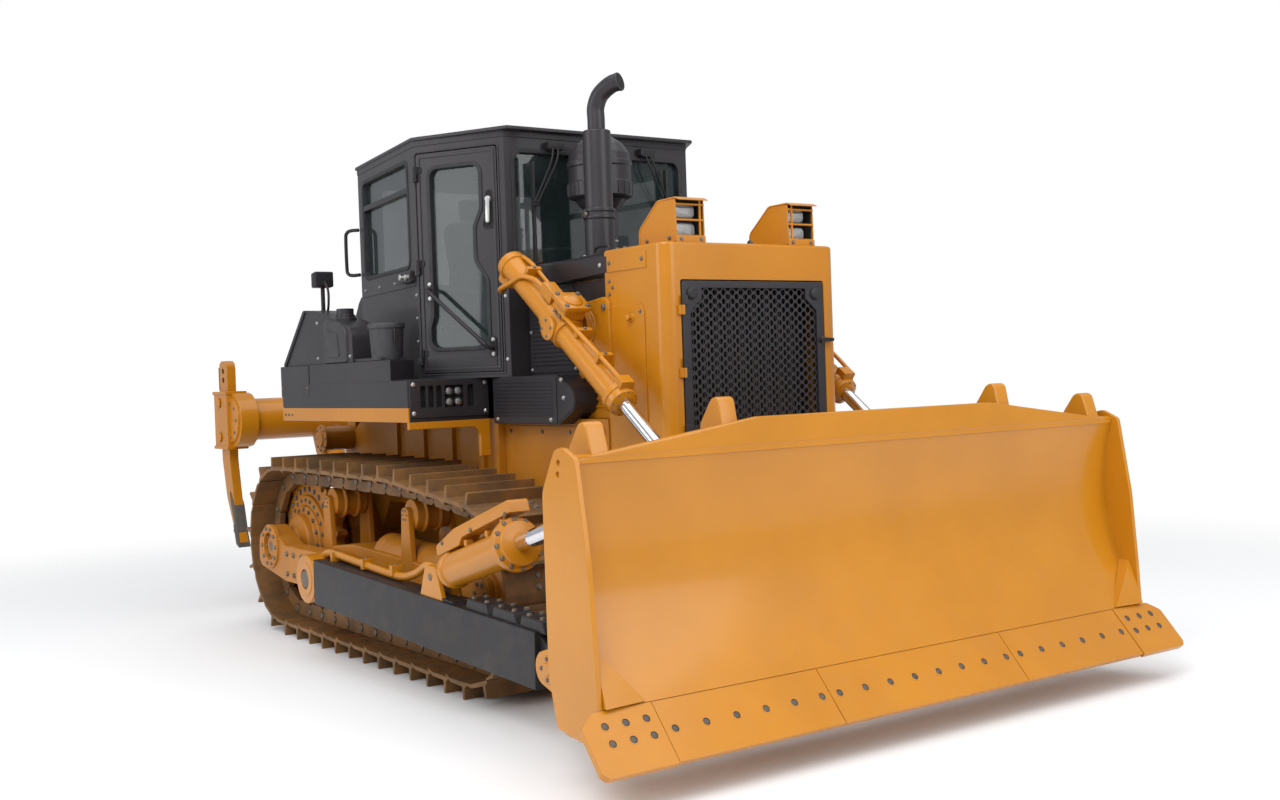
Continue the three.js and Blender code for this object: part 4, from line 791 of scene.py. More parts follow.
def idler():
    made = Assembly()
    start, end = (TRACK_X - 135, *IDLER), (TRACK_X + 135, *IDLER)
    half = [
        (0, 0), (0, 108, 6), (30, 110), (48, 135, 12), (100, 150, 20), (108, 270, 20), (28, 300, 14),
        (28, 352, 8), (72, 357, 4), (78, 385, 6),
    ]
    other = [(270 - d, r, *rest) for d, r, *rest in half[::-1]]
    made.turned("chassis", start, end, half + other, 72)
    made.turned(
        "bolt", (TRACK_X - 134, *IDLER), (TRACK_X - 150, *IDLER), [(0, 0), (0, 60), (2, 58, 2), (2, 0)], 32,
    )
    return made


def track_frame():
    made = Assembly()
    outer, inner = TRACK_X - 150, TRACK_X + 150
    body = [(-540, 437), (-540, 640, 60), (-1000, 690, 100), (-2200, 640, 60), (-2330, 437, 30)]
    made.prism("chassis", body, outer, inner, 12)
    for at in ROLLERS:
        made.turned("chassis", (TRACK_X - 130, *at), (TRACK_X + 130, *at), [
            (0, 0), (0, 62, 6), (12, 70, 5), (14, 104, 6), (60, 104, 3), (74, 116, 5), (186, 116, 5),
            (200, 104, 3), (246, 104, 6), (248, 70, 5), (260, 62, 6), (260, 0),
        ], 40)
        for side in (outer - 2, inner + 2):
            out = math.copysign(1, side - TRACK_X)
            made.rod("chassis", (side, *at), (side + out * 7, *at), 46, 24, 3)
            made.rod("bolt", (side + out * 6, *at), (side + out * 12, *at), 14, 6, 1)
    guard = [(-400, 262, 30), (-400, 444, 20), (-2430, 444, 20), (-2460, 262, 30)]
    windows = [circle((y - 174, 345), 44, 28) for y, _ in ROLLERS[:-1]]
    for x0, x1 in ((outer - 1, outer + 28), (inner - 28, inner + 1)):
        made.prism("chassis", [guard, *windows], x0, x1, 5)
    for y, _ in ROLLERS:
        made.bolts("bolt", [(outer, y - 80, 425), (outer, y + 80, 425)], RIGHT, 15)
    for y, z in CARRIERS:
        made.turned("chassis", (TRACK_X - 118, y, z), (TRACK_X + 140, y, z), [
            (0, 0), (0, 50, 6), (10, 92, 6), (60, 94, 4), (66, 110, 5), (80, 110, 5), (86, 94, 4),
            (150, 94, 4), (156, 110, 5), (170, 110, 5), (176, 94, 4), (222, 92, 6), (230, 60, 6), (258, 56),
        ], 40)
        made.prism("chassis", [
            (y - 90, 600), (y + 90, 600), (y + 62, z + 60, 40), (y - 62, z + 60, 40),
        ], inner - 36, inner + 2, 8)
        made.prism("chassis", [
            (y - 76, 600), (y + 76, 600), (y + 46, z + 42, 30), (y - 46, z + 42, 30),
        ], outer - 2, outer + 36, 8)
        made.rod("chassis", (outer - 3, y, z), (TRACK_X - 100, y, z), 46, 24, 6)
        made.bolt_circle("bolt", outer - 3, (y, z), 30, 6, -1, 6)
        made.block("chassis", (outer + 2, outer + 60), (y - 96, y + 96), (596, 640), 8)
        made.bolts("bolt", [(outer + 16, y + dy, 640) for dy in (-84, 84)], UP, 14)
    yoke = [(-2100, 450, 20), (-2100, 640, 30), (-2820, 655, 60), (-2820, 475, 60)]
    for x0, x1 in ((-1170, -1136), (-864, -830)):
        made.prism("chassis", yoke, x0, x1, 8)
    made.prism("chassis", circle(IDLER, 78, 40), -1176, -1134, 6)
    made.bolt_circle("bolt", -1176, IDLER, 55, 6, -1, 12)
    made.bolts("bolt", [(-1170, y, z) for y in (-2180, -2300, -2420) for z in (495, 610)], RIGHT, 14)
    made.turned("chassis", (TRACK_X, -1240, 640), (TRACK_X, -2155, 620), [
        (0, 0), (0, 110, 20), (20, 129, 10), (90, 129, 10), (100, 120, 6), (800, 120, 6), (810, 130, 8),
        (895, 130, 10), (915, 100, 20), (915, 0),
    ], 48)
    made.bolts("bolt", [(TRACK_X + a, -2153, 620 + b) for a, b in circle((0, 0), 78, 10)], AHEAD, 12)
    out = [
        (-1150, 395, 40), (-1190, 620, 60), (-900, 640, 60), (-250, 640, 120), (60, 765, 120), (230, 675, 90),
        (250, 470, 80), (-250, 395, 60),
    ]
    made.prism("chassis", [out, circle(SPROCKET, 96, 32)], -1325, -1180, 14, fine=1.4)
    made.ring("chassis", (-1340, *SPROCKET), (-1300, *SPROCKET), 150, 96, 40, 6)
    made.bolt_circle("bolt", -1340, SPROCKET, 124, 10, -1, 12)
    made.block("chassis", (-1330, outer + 10), (-900, -560), (406, 600), 12)
    made.bolts("bolt", [(-1325, y, z) for y in (-560, -420, -300) for z in (450, 585)], RIGHT, 16)
    made.spun("chassis", (-1320, -1035, 508), RIGHT, [(0, 118), (10, 118, 4), (18, 112, 4), (18, 0)], 40)
    made.spun("bolt", (-1325, -1035, 508), RIGHT, [(0, 61.5), (160, 61.5, 6), (170.5, 50, 4), (170.5, 0)], 40)
    made.block("chassis", (outer - 2, outer + 30), (-1700, -1300), (520, 610), 8)
    return made


both(track_loop(), "track_chain", "track_steel", "track")
both(sprocket(), "sprocket_wheel", "chassis_paint", "sprocket")
both(final_drive(), "final_drive_case", "chassis_paint", "final_drive")
both(idler(), "idler_wheel", "chassis_paint", "idler")
both(track_frame(), "track_frame_box", "chassis_paint", "track_frame")


# ---------------------------------------------------------------- blade and its edges
EDGE_LOW, EDGE_TOP, BLADE_TOP = (-4955, 172), (-4762, 386), (-4621, 1389)
CROWN_Z = 1511
BLADE_HALF = 1760
LIFT_X, LIFT_YOKE, LIFT_EYE = 760, (-3005, 1979), (-4265, 1054)
TRUNNION, BALL = (-1035, 508), (-3995, 400)
ARM_IN, ARM_OUT, ARM_MIDDLE = 1339, 1489, 1414
TILT_FOOT, TILT_EYE = (-2750, 690), (-4345, 1140)


def board_curve(offset=0, steps=36):
    """The moldboard's hollow face from the cutting edge's seam up to the top edge."""
    sag = 118
    chord = math.dist(EDGE_TOP, BLADE_TOP)
    radius = chord * chord / (8 * sag) + sag / 2
    centre = ahead(EDGE_TOP, BLADE_TOP, chord / 2, radius - sag)
    first = math.atan2(EDGE_TOP[1] - centre[1], EDGE_TOP[0] - centre[0])
    last = math.atan2(BLADE_TOP[1] - centre[1], BLADE_TOP[0] - centre[0])
    return arc(centre, radius + offset, math.degrees(first), math.degrees(last), steps)


def behind_board(low, high):
    return [(y, z) for y, z in board_curve(12) if low <= z <= high]


def blade_plate():
    made = Assembly()
    half = BLADE_HALF
    made.prism("board", board_curve() + board_curve(30)[::-1], 12 - half, half - 12, 2)
    top_y, top_z = BLADE_TOP
    made.prism("board", [
        (30 - half, top_z - 30), (half - 30, top_z - 30), (half - 30, top_z - 6, 20), (770, CROWN_Z, 220),
        (-770, CROWN_Z, 220), (30 - half, top_z - 6, 20),
    ], top_y + 2, top_y + 32, 6, "xz")
    along = ahead(EDGE_TOP, EDGE_LOW, 190, 0)
    foot = [
        ahead(EDGE_TOP, EDGE_LOW, 190, 5), ahead(EDGE_TOP, EDGE_LOW, 0, 5),
        (EDGE_TOP[0] + 40, EDGE_TOP[1] + 30), (-4480, 520, 60), (-4480, 240, 40), (-4700, 228, 30),
        ahead(EDGE_TOP, EDGE_LOW, 190, 36),
    ]
    made.prism("board", foot, 12 - half, half - 12, 4)
    made.prism("board", [
        *behind_board(1240, 1390), (-4445, 1345, 30), (-4445, 1259, 20),
    ], 12 - half, half - 12, 5)
    made.prism("board", [
        *behind_board(650, 850), (-4450, 850, 20), (-4450, 650, 20),
    ], 12 - half, half - 12, 5)
    end = [
        EDGE_TOP, (-4764, 402), (-4751, 626, 300), (-4723, 983, 500), (-4656, 1386, 30), (-4560, 1432, 60),
        (-4500, 1418, 60), (-4395, 1240, 90), (-4395, 480, 60), (-4450, 260, 40), (-4700, 228),
        ahead(EDGE_TOP, EDGE_LOW, 190, 36), along,
    ]
    holes = [circle((-4530, 1366), 13, 20), circle((-4522, 1318), 13, 20)]
    for x0 in (-half, half - 25):
        made.prism("board", [end, *holes], x0, x0 + 25, 4, fine=1.5)
    for x in (160 - half, -900, 900, half - 160):
        reach = 140 if abs(x) > 1000 else 216
        rib = [
            *behind_board(420, 1380), (-4612, top_z - 6), (-4565, top_z + reach, 46),
            (-4515, top_z + reach, 50), (-4425, top_z + reach - 120, 50), (-4425, 340, 40),
        ]
        made.prism("board", rib, x - 46, x + 46, 10, fine=1.5)
    for side in (-1, 1):
        for step in (-138, 138):
            x = side * LIFT_X + step
            lug = [
                *behind_board(640, 1240), (-4460, 1240, 30), (-4195, 1114, 70), (-4195, 994, 70),
                (-4460, 640, 30),
            ]
            made.prism("board", [lug, circle(LIFT_EYE, 30, 32)], x - 14, x + 14, 5, fine=1.5)
            out = math.copysign(14, step)
            made.ring("board", (x + out, *LIFT_EYE), (x + out * 1.8, *LIFT_EYE), 58, 30, 32, 4)
        for inner in (ARM_IN - 34, ARM_OUT + 12):
            x0 = inner if side > 0 else -inner - 22
            ear = [
                (-4500, 300), (-4055, 290, 60), (-3885, 340, 90), (-3885, 460, 90), (-4055, 510, 60),
                (-4500, 560),
            ]
            made.prism("board", ear, x0, x0 + 22, 5, fine=1.5)
        for step in (-97, 72):
            x0 = side * ARM_MIDDLE + step
            ear = [
                *behind_board(1000, 1340), (-4450, 1340, 30), (-4265, 1200, 60), (-4265, 1080, 60),
                (-4450, 1000, 30),
            ]
            made.prism("board", [ear, circle(TILT_EYE, 28, 32)], x0, x0 + 25, 5, fine=1.5)
        x = side * ARM_MIDDLE
        made.rod("bolt", (x - 96, *BALL), (x + 96, *BALL), 26, 28, 4)
        for face in (-1, 1):
            cap = (x + face * 97, *BALL)
            made.spun("board", cap, (face, 0, 0), [
                (0, 0), (0, 66, 5), (16, 66, 6), (16, 30, 5), (24, 28, 4), (24, 0),
            ], 36)
            made.bolt_circle("bolt", cap[0] + face * 16, BALL, 48, 4, face, 9)
    made.turned("bolt", (ARM_MIDDLE - 60, *BALL), (ARM_MIDDLE + 60, *BALL), [
        (0, 20), (20, 44.7), (40, 56.6), (60, 60), (80, 56.6), (100, 44.7), (120, 20),
    ], 40)
    for side in (-1, 1):  # gussets in the lower corners of the face
        x = side * (half - 26)
        low, mid = ahead(EDGE_TOP, BLADE_TOP, 6), board_curve()[9]
        points = [
            (x, low[0] - 26, low[1]), (x, mid[0] - 70, mid[1]), (x - side * 205, low[0] - 10, low[1] + 2),
            (x, low[0] + 20, low[1]), (x, mid[0], mid[1]), (x - side * 205, low[0] + 14, low[1] + 2),
        ]
        faces = [(0, 1, 2), (5, 4, 3), (0, 3, 4, 1), (1, 4, 5, 2), (2, 5, 3, 0)]
        made.add("board", points, faces if side > 0 else [face[::-1] for face in faces])
    return made


def cutting_edge():
    """Three edge sections and two end bits, with plough bolts drawn as a rim, a disc of painted shadow for
    the countersunk hole, and a head.
    """
    made = Assembly()
    full = math.dist(EDGE_LOW, EDGE_TOP)
    along = Vector((0, EDGE_TOP[0] - EDGE_LOW[0], EDGE_TOP[1] - EDGE_LOW[1])).normalized()
    out = Vector((0, -along.z, along.y))  # up out of the face
    turn = Matrix((Vector((1, 0, 0)), along, out)).transposed().to_4x4()
    turn = Matrix.Translation((0, *EDGE_LOW)) @ turn

    def section(outline, bolts, low, high):
        made.prism("board", outline, low, high, frame=turn, bevel=2.5)
        for x, up in bolts:
            seat = turn @ Vector((x, up, high))
            head = turn.to_3x3() @ Vector(UP)
            made.ring("board", seat - head, seat + head * 1.6, 22, 17, 24, 1)
            # near-black disc under each head: painted shadow in the countersunk hole
            made.turned("dark", seat, seat + head, [(-1, 0), (-1, 17), (0.5, 17), (0.8, 0)], 24)
            made.turned("iron", seat, seat + head, [(0, 0), (0.5, 14), (1.8, 11, 2), (2.2, 0)], 20)

    bottom = full - 3
    for left, right, count in ((-1500, -600, 6), (-600, 600, 8), (600, 1500, 6)):
        row = [(left + 52 + (right - left - 104) * k / (count - 1), full * 0.52) for k in range(count)]
        section(oblong((left + 2, right - 2), (6, bottom)), row, -30, 0)
    for side in (-1, 1):
        outline = [
            (1502, 0), (1840, 0, 24), (1862, 26, 20), (1862, 230, 30), (1790, bottom, 30), (1502, bottom),
        ]
        bolts = [(side * (1560 + 100 * i), full * (0.48 + 0.27 * j)) for i in range(3) for j in range(2)]
        section([(side * p[0], *p[1:]) for p in outline], bolts, -30, 3)
    return made


def tilt_axis(distance):
    y, z = ahead(TILT_FOOT, TILT_EYE, distance)
    return (-ARM_MIDDLE, y, z)


def strut_foot(made, finish="yellow"):
    made.ring(finish, (-ARM_MIDDLE - 24, *TILT_FOOT), (-ARM_MIDDLE + 24, *TILT_FOOT), 64, 41, 40, 5)
    made.turned(finish, tilt_axis(48), tilt_axis(170), [
        (0, 0), (0, 27), (98, 28, 8), (122, 52), (122, 0),
    ], 32)


def tilt_barrel():
    made = Assembly()
    strut_foot(made)
    made.turned("yellow", tilt_axis(150), tilt_axis(902), [
        (0, 0), (0, 84, 8), (14, 100, 5), (44, 100, 5), (48, 91, 4), (668, 91, 4), (672, 132, 6),
        (716, 132, 6), (720, 112, 4), (744, 108, 6), (752, 52, 4), (752, 46),
    ], 64)
    direction = (Vector(tilt_axis(900)) - Vector(tilt_axis(0))).normalized()
    turn = towards(direction)
    for a, b in circle((0, 0), 119, 12):
        made.bolt("bolt", Vector(tilt_axis(866)) + turn @ Vector((a, b, 0)), direction, 11)
    guard = [
        (70, -92, 20), (330, -100), (372, -134, 20), (905, -150), (905, -214, 20), (300, -196, 60),
        (70, -150, 30),
    ]
    outline = [(*ahead(TILT_FOOT, TILT_EYE, p[0], p[1]), *p[2:]) for p in guard]
    made.prism("yellow", outline, -ARM_MIDDLE - 40, -ARM_MIDDLE + 74, 8)
    for d in (150, 480, 850):
        y, z = ahead(TILT_FOOT, TILT_EYE, d, -130)
        made.bolts("bolt", [(-ARM_MIDDLE - 40, y, z + 20)], RIGHT, 10)
    y0, z0 = ahead(TILT_FOOT, TILT_EYE, 210, -96)
    y1, z1 = ahead(TILT_FOOT, TILT_EYE, 790, -98)
    made.block("yellow", (-ARM_MIDDLE - 30, -ARM_MIDDLE + 30), (y0 - 34, y0 + 34), (z0 + 6, z0 + 44), 5)
    made.block("yellow", (-ARM_MIDDLE - 28, -ARM_MIDDLE + 28), (y1 - 30, y1 + 30), (z1 + 2, z1 + 40), 5)
    made.pipe("yellow", [
        (-ARM_MIDDLE - 12, y0, z0 + 40), (-ARM_MIDDLE - 14, y0 - 60, z0 + 58),
        (-ARM_MIDDLE - 14, y1 + 60, z1 + 52), (-ARM_MIDDLE - 12, y1, z1 + 36),
    ], 10)
    for share in (0.3, 0.7):
        y, z = ahead(TILT_FOOT, TILT_EYE, 210 + 580 * share, -92)
        made.block("yellow", (-ARM_MIDDLE - 30, -ARM_MIDDLE + 10), (y - 14, y + 14), (z - 6, z + 26), 4)
    return made


def rod_eye(made, x, at, radius, half, hole):
    made.ring("yellow", (x - half, *at), (x + half, *at), radius, hole, 40, 5)


def strut_eye(made, length):
    """The neck and the front eye of a strut."""
    made.turned(
        "yellow", tilt_axis(length - 118), tilt_axis(length), [(0, 40), (6, 50, 4), (50, 54, 12), (72, 40)],
        40,
    )
    rod_eye(made, -ARM_MIDDLE, TILT_EYE, 66, 28, 29)


def tilt_rod():
    made = Assembly()
    length = math.dist(TILT_FOOT, TILT_EYE)
    made.turned("chrome", tilt_axis(420), tilt_axis(length), [
        (0, 0), (0, 44), (length - 530, 44, 4), (length - 530, 0),
    ], 48)
    strut_eye(made, length)
    return made


def brace():
    made = Assembly()
    strut_foot(made)
    length = math.dist(TILT_FOOT, TILT_EYE)
    made.turned("yellow", tilt_axis(150), tilt_axis(length), [
        (0, 0), (0, 58, 8), (12, 62, 4), (440, 62, 4), (446, 80, 8), (520, 80, 4), (524, 72, 3),
        (980, 72, 3), (984, 80, 4), (1000, 80, 8), (1006, 46), (length - 222, 44), (length - 200, 30),
    ], 48)
    for k in range(30):
        start = 160 + 1002 + k * 11
        made.ring("yellow", tilt_axis(start), tilt_axis(start + 6), 46, 40, 32, 1.5)
    strut_eye(made, length)
    return made.mirrored()


def lift_axis(distance, side=0, x=-LIFT_X):
    y, z = ahead(LIFT_YOKE, LIFT_EYE, distance, side)
    return (x, y, z)


def lift_barrel():
    """Barrel in its yoke, with head block, oil pipes, clamps and relief valve."""
    made = Assembly()
    made.turned("yellow", lift_axis(-670), lift_axis(704), [
        (0, 0), (0, 62, 8), (16, 84, 6), (62, 86, 6), (66, 74, 3), (552, 73, 3), (556, 90, 6), (596, 92, 4),
        (700, 92, 4), (740, 90, 6), (744, 74, 3), (1278, 74, 3), (1282, 88, 5), (1318, 90, 5),
        (1322, 82, 3), (1360, 80, 8), (1374, 48, 4), (1374, 40),
    ], 64)
    made.rod("yellow", (-LIFT_X + 60, *LIFT_YOKE), (-660.5, *LIFT_YOKE), 55, 36, 4)
    made.rod("yellow", (-LIFT_X - 60, *LIFT_YOKE), (-LIFT_X - 92, *LIFT_YOKE), 50, 36, 5)
    made.turned(
        "yellow", (-LIFT_X - 82, *LIFT_YOKE), (-LIFT_X - 112, *LIFT_YOKE),
        [(0, 64), (4, 66, 3), (20, 66, 5), (24, 50, 3), (24, 0)], 32,
    )
    made.bolt_circle("bolt", -LIFT_X - 105, LIFT_YOKE, 44, 4, -1, 8)
    turn = Matrix(
        (
            Vector((1, 0, 0)), Vector(lift_axis(1)) - Vector(lift_axis(0)),
            Vector(lift_axis(0, 1)) - Vector(lift_axis(0)),
        )
    ).transposed().to_4x4()
    turn = Matrix.Translation(lift_axis(0)) @ turn
    extra = Assembly()
    extra.block("yellow", (-44, 44), (-668, -574), (40, 116), 8)  # head block
    extra.block("yellow", (-40, 40), (600, 668), (-118, -60), 8)  # port block near the gland
    extra.block("yellow", (-56, 20), (-230, -110), (-150, -76), 8)  # relief valve
    extra.rod("yellow", (-16, -110, -112), (-16, -70, -112), 22, 20, 4)
    extra.block("yellow", (-62, 62), (-62, 62), (-150, -84), 10)  # yoke cap
    extra.prism("yellow", oblong((-86, 86), (-80, 80), 22), -178, -148, 7, "xy")
    extra.spun("yellow", (0, 0, -170), DOWN, [(0, 0), (0, 58, 3), (14, 56, 5), (24, 34, 10), (26, 0)], 36)
    extra.bolts("bolt", [(x, y, -178) for x in (-64, 64) for y in (-58, 58)], DOWN, 12)
    extra.pipe("yellow", [
        (0, -636, 110), (0, -640, 140), (-40, -600, 150), (-84, -560, 110), (-88, -480, 20),
        (-70, -420, -60), (-44, -330, -98), (-36, -220, -104),
    ], 14, 14)
    extra.pipe("yellow", [(-52, -70, -110), (-52, 60, -104), (-30, 560, -110), (-24, 620, -98)], 12, 14)
    extra.pipe("yellow", [(18, -170, -98), (20, -300, -104), (22, -500, -100), (24, -600, -80)], 12, 14)
    for y in (-420, 190, 420):
        extra.block("yellow", (-50, 40), (y - 14, y + 14), (-122, -68), 5)
        extra.bolt("bolt", (-5, y, -122), DOWN, 9)
    extra.bolts("bolt", [(x, y, 116) for x in (-30, 30) for y in (-655, -588)], UP, 9)
    extra.bolts("bolt", [(x, y, -92) for x in (-66, 66) for y in (-24, 24)], DOWN, 11)
    made.merge(extra, turn)
    gland = Vector(lift_axis(702)) - Vector(lift_axis(701))
    spin = towards(gland)
    for a, b in circle((0, 0), 68, 8):
        made.bolt("bolt", Vector(lift_axis(690)) + spin @ Vector((a, b, 0)), gland, 7)
    return made


def lift_rod():
    made = Assembly()
    length = math.dist(LIFT_YOKE, LIFT_EYE)
    made.turned("chrome", lift_axis(80), lift_axis(length), [
        (0, 0), (0, 36), (length - 178, 36, 4), (length - 178, 0),
    ], 48)
    made.turned(
        "yellow", lift_axis(length - 104), lift_axis(length), [(0, 34), (6, 44, 4), (40, 50, 10), (60, 38)],
        36,
    )
    rod_eye(made, -LIFT_X, LIFT_EYE, 62, 45, 30)
    return made


def push_arm(loose):
    """Box-section arm with its rear eye on the trunnion and its boss on the blade's ball."""
    made = Assembly()
    length = math.dist(TRUNNION, BALL)

    def along(distance, side):
        return ahead(TRUNNION, BALL, distance, side)

    made.prism("black", [
        along(130, -137), along(length - 170, -137), along(length - 170, 137), along(130, 137),
    ], -ARM_OUT, -ARM_IN, 7)
    made.prism("yellow", [circle(TRUNNION, 152, 56), circle(TRUNNION, 62.5, 40)], -ARM_OUT, -ARM_IN, 8)
    made.prism("yellow", [
        along(60, -120), along(150, -134), along(150, 134), along(60, 120),
    ], 8 - ARM_OUT, -ARM_IN - 8, 5)
    made.ring("yellow", (-ARM_OUT - 5, *TRUNNION), (-ARM_OUT + 6, *TRUNNION), 108, 63, 40, 4)
    nose = [
        along(length - 200, -128), along(length - 82, -68), along(length - 82, 68),
        along(length - 200, 128),
    ]
    made.prism("black", nose, -ARM_OUT + 30, -ARM_IN - 30, 8)
    made.ring("iron", (-ARM_MIDDLE - 45, *BALL), (-ARM_MIDDLE + 45, *BALL), 88, 58 if loose else 60.5, 48, 6)
    for distance, size in ((2080, 250), (2350, 250), (2620, 240)):
        y0, z0 = along(distance, -137)
        y1, z1 = along(distance + size, -137)
        made.prism("black", [
            (y0, z0 - 6), (y1, z1 - 6), (y1 + 26, z1 + 54, 14), (y0 - 26, z0 + 54, 14),
        ], -ARM_OUT + 18, -ARM_IN - 18, 7)
        for t in (60, size - 60):
            y, z = along(distance + t, -137 - 54)
            made.bolts("bolt", [(-ARM_MIDDLE + dx, y, z) for dx in (-34, 34)], UP, 13)
    made.prism("black", [
        along(1560, -137), along(1960, -137), along(1950, -150), along(1570, -150),
    ], -ARM_OUT + 14, -ARM_IN - 14, 3)
    made.pipe("yellow", [
        (-ARM_IN - 40, -1090, 650), (-ARM_IN - 44, -1220, 676), (-ARM_IN - 50, -1700, 652),
        (-ARM_IN - 54, -2200, 630), (-ARM_IN - 58, -2420, 668), (-ARM_IN - 60, -2560, 724),
        (-ARM_IN - 66, -2680, 716),
    ], 24, 16, 8)
    for y in (-1300, -1750, -2150):
        made.block("yellow", (-ARM_IN - 84, -ARM_IN - 18), (y - 16, y + 16), (626, 690), 5)
        made.bolt("bolt", (-ARM_IN - 50, y, 690), UP, 9)
    bracket = [
        (TILT_FOOT[0] + 150, TILT_FOOT[1] - 160), (TILT_FOOT[0] + 60, TILT_FOOT[1] + 60, 50),
        (TILT_FOOT[0] - 60, TILT_FOOT[1] + 60, 50), (TILT_FOOT[0] - 150, TILT_FOOT[1] - 160),
    ]
    for step in (-62, 34):
        made.prism("yellow", bracket, -ARM_MIDDLE + step, -ARM_MIDDLE + step + 28, 6, fine=1.5)
    made.rod("bolt", (-ARM_MIDDLE - 66, *TILT_FOOT), (-ARM_MIDDLE + 66, *TILT_FOOT), 20, 24, 3)
    made.turned(
        "bolt", (-ARM_MIDDLE - 40, *TILT_FOOT), (-ARM_MIDDLE + 40, *TILT_FOOT),
        [(0, 10), (12, 28), (26, 38), (40, 40), (54, 38), (68, 28), (80, 10)], 32,
    )
    return made


blade_plate().finish("blade_plate", "blade", "yellow_paint", ["blade"])
cutting_edge().finish("cutting_edge_row", "blade", "yellow_paint", ["cutting_edges"])
tilt_barrel().finish("tilt_cylinder_barrel", "tilt_barrel", "yellow_paint", ["tilt_barrel"])
tilt_rod().finish("tilt_cylinder_rod", "tilt_rod", "chrome", ["tilt_rod"])
brace().finish("tilt_brace", "brace_left", "yellow_paint", ["brace_left"])
both(lift_barrel(), "lift_cylinder_barrel", "yellow_paint", "lift_barrel", "lift_barrel")
both(lift_rod(), "lift_cylinder_rod", "chrome", "lift_rod", "lift_rod")
push_arm(True).finish("push_arm_beam_right", "push_arm_right", "graphite_paint", ["push_arm_right"])
push_arm(False).mirrored().finish("push_arm_beam_left", "push_arm_left", "graphite_paint", ["push_arm_left"])


# ---------------------------------------------------------------- radiator guard, grille and engine cover
GUARD_FRONT = -3706
GUARD_REAR = -3174
GUARD_SIDE = 590
GUARD_TOP = 2383


def guard_details():
    made = Assembly()
    for side in (-1, 1):
        x = side * GUARD_SIDE
        lo, hi = (x - 7, x + 1) if side < 0 else (x - 1, x + 7)
        made.prism("yellow", [
            (-3232, 1560, 20), (-3232, 2085, 20), (-3532, 2085, 60), (-3532, 1040, 20), (-3232, 1040, 20),
        ], lo, hi, 3)
        made.prism("yellow", [
            (-3200, 2262), (-3200, 2350, 10), (-3560, 2350, 10), (-3560, 2262),
        ], lo + side * -2, hi - side * 2, 2)
        face = x + side * 7
        made.bolts("bolt", [
            (face, y, z) for y, z in ((-3290, 1130), (-3480, 1130), (-3260, 1640), (-3500, 2040))
        ], (side, 0, 0), 9)
        made.bolts("bolt", [
            (x + side * 4, y, z) for y, z in ((-3225, 2310), (-3525, 2310))
        ], (side, 0, 0), 10)
        made.bolts("bolt", [
            (x, y, z) for y, z in ((-3215, 2215), (-3245, 2180), (-3215, 2145))
        ], (side, 0, 0), 9)
        made.spun("yellow", (face - side * 2, -3420, 2010), (side, 0, 0), [
            (0, 0), (0, 24, 2), (6, 22, 2), (8, 9, 2), (20, 9, 2), (22, 17, 4), (36, 17, 6), (38, 0),
        ], 28)
        made.spun("yellow", (side * 606, *LIFT_YOKE), (side, 0, 0), [
            (0, 0), (0, 104, 8), (14, 100, 8), (20, 88, 5), (53.6, 88, 6), (53.6, 50),
        ], 44)
        bracket = [(-3236, 1716, 60), (-2875, 1776, 60), (-2875, 2102, 80), (-3236, 2142, 60)]
        lo, hi = sorted((side * 584, side * 614))
        made.prism("yellow", bracket, lo, hi, 8)
        made.bolts("bolt", [
            (side * 614, y, z) for y, z in ((-3190, 1780), (-3190, 2080), (-2930, 1820), (-2930, 2050))
        ], (side, 0, 0), 16)
    made.bolts("bolt", [(x, y, GUARD_TOP) for x in (-540, 540) for y in (-3230, -3300)], UP, 11)
    for x in (-200, 200):
        made.spun("yellow", (x, -3440, GUARD_TOP), UP, [(0, 0), (0, 26, 2), (6, 24, 2), (6, 0)], 28)
        made.ring("iron", (x - 6, -3440, GUARD_TOP + 26), (x + 6, -3440, GUARD_TOP + 26), 24, 12, 24, 4)
    for z in (1400, 1740, 2060):
        made.rod("yellow", (-484, -3722, z - 50), (-484, -3722, z), 9, 20, 2)
        made.block("yellow", (-510, -489), (-3721, -3700), (z - 50, z), 3)
    return made


def perforated(made, finish, x, z, y, thick):
    """A sheet with staggered round holes, in cells that meet edge to edge."""
    wide, high, hole = 29, 23, 15.5
    flat = 5.4
    angles = [0, 30, 60, math.degrees(math.atan2(high, flat))]
    angles = angles + [180 - a for a in angles[:0:-1]]
    angles = angles + [a + 180 for a in angles]
    rim = []
    for degrees in angles:
        a = math.radians(degrees)
        c, s = abs(math.cos(a)), abs(math.sin(a))
        reach = [(wide ** 2 + high ** 2) / 2 / (wide * c + high * s)]
        if s > 1e-6:
            reach.append(high / s)
        rim.append((min(reach) * math.cos(a), min(reach) * math.sin(a)))
    ring = [(hole * math.cos(math.radians(a)), hole * math.sin(math.radians(a))) for a in angles]
    count = len(angles)
    for row in range(round((z[1] - z[0]) / high) + 1):
        cz = z[0] + row * high
        for column in range(-16, 17):
            if (column + row) % 2 or abs(column * wide) + cz > 2556:
                continue
            cx = column * wide
            edge = [(max(x[0], min(x[1], cx + a)), cz + b) for a, b in rim]
            hole_edge = [(max(x[0], min(x[1], cx + a)), cz + b) for a, b in ring]
            points = [(a, y, b) for a, b in edge + hole_edge] + [(a, y + thick, b) for a, b in hole_edge]
            faces = []
            for i in range(count):
                j = (i + 1) % count
                faces += [(i, j, count + j, count + i), (count + i, count + j, 2 * count + j, 2 * count + i)]
            made.add(finish, points, faces)
    return made


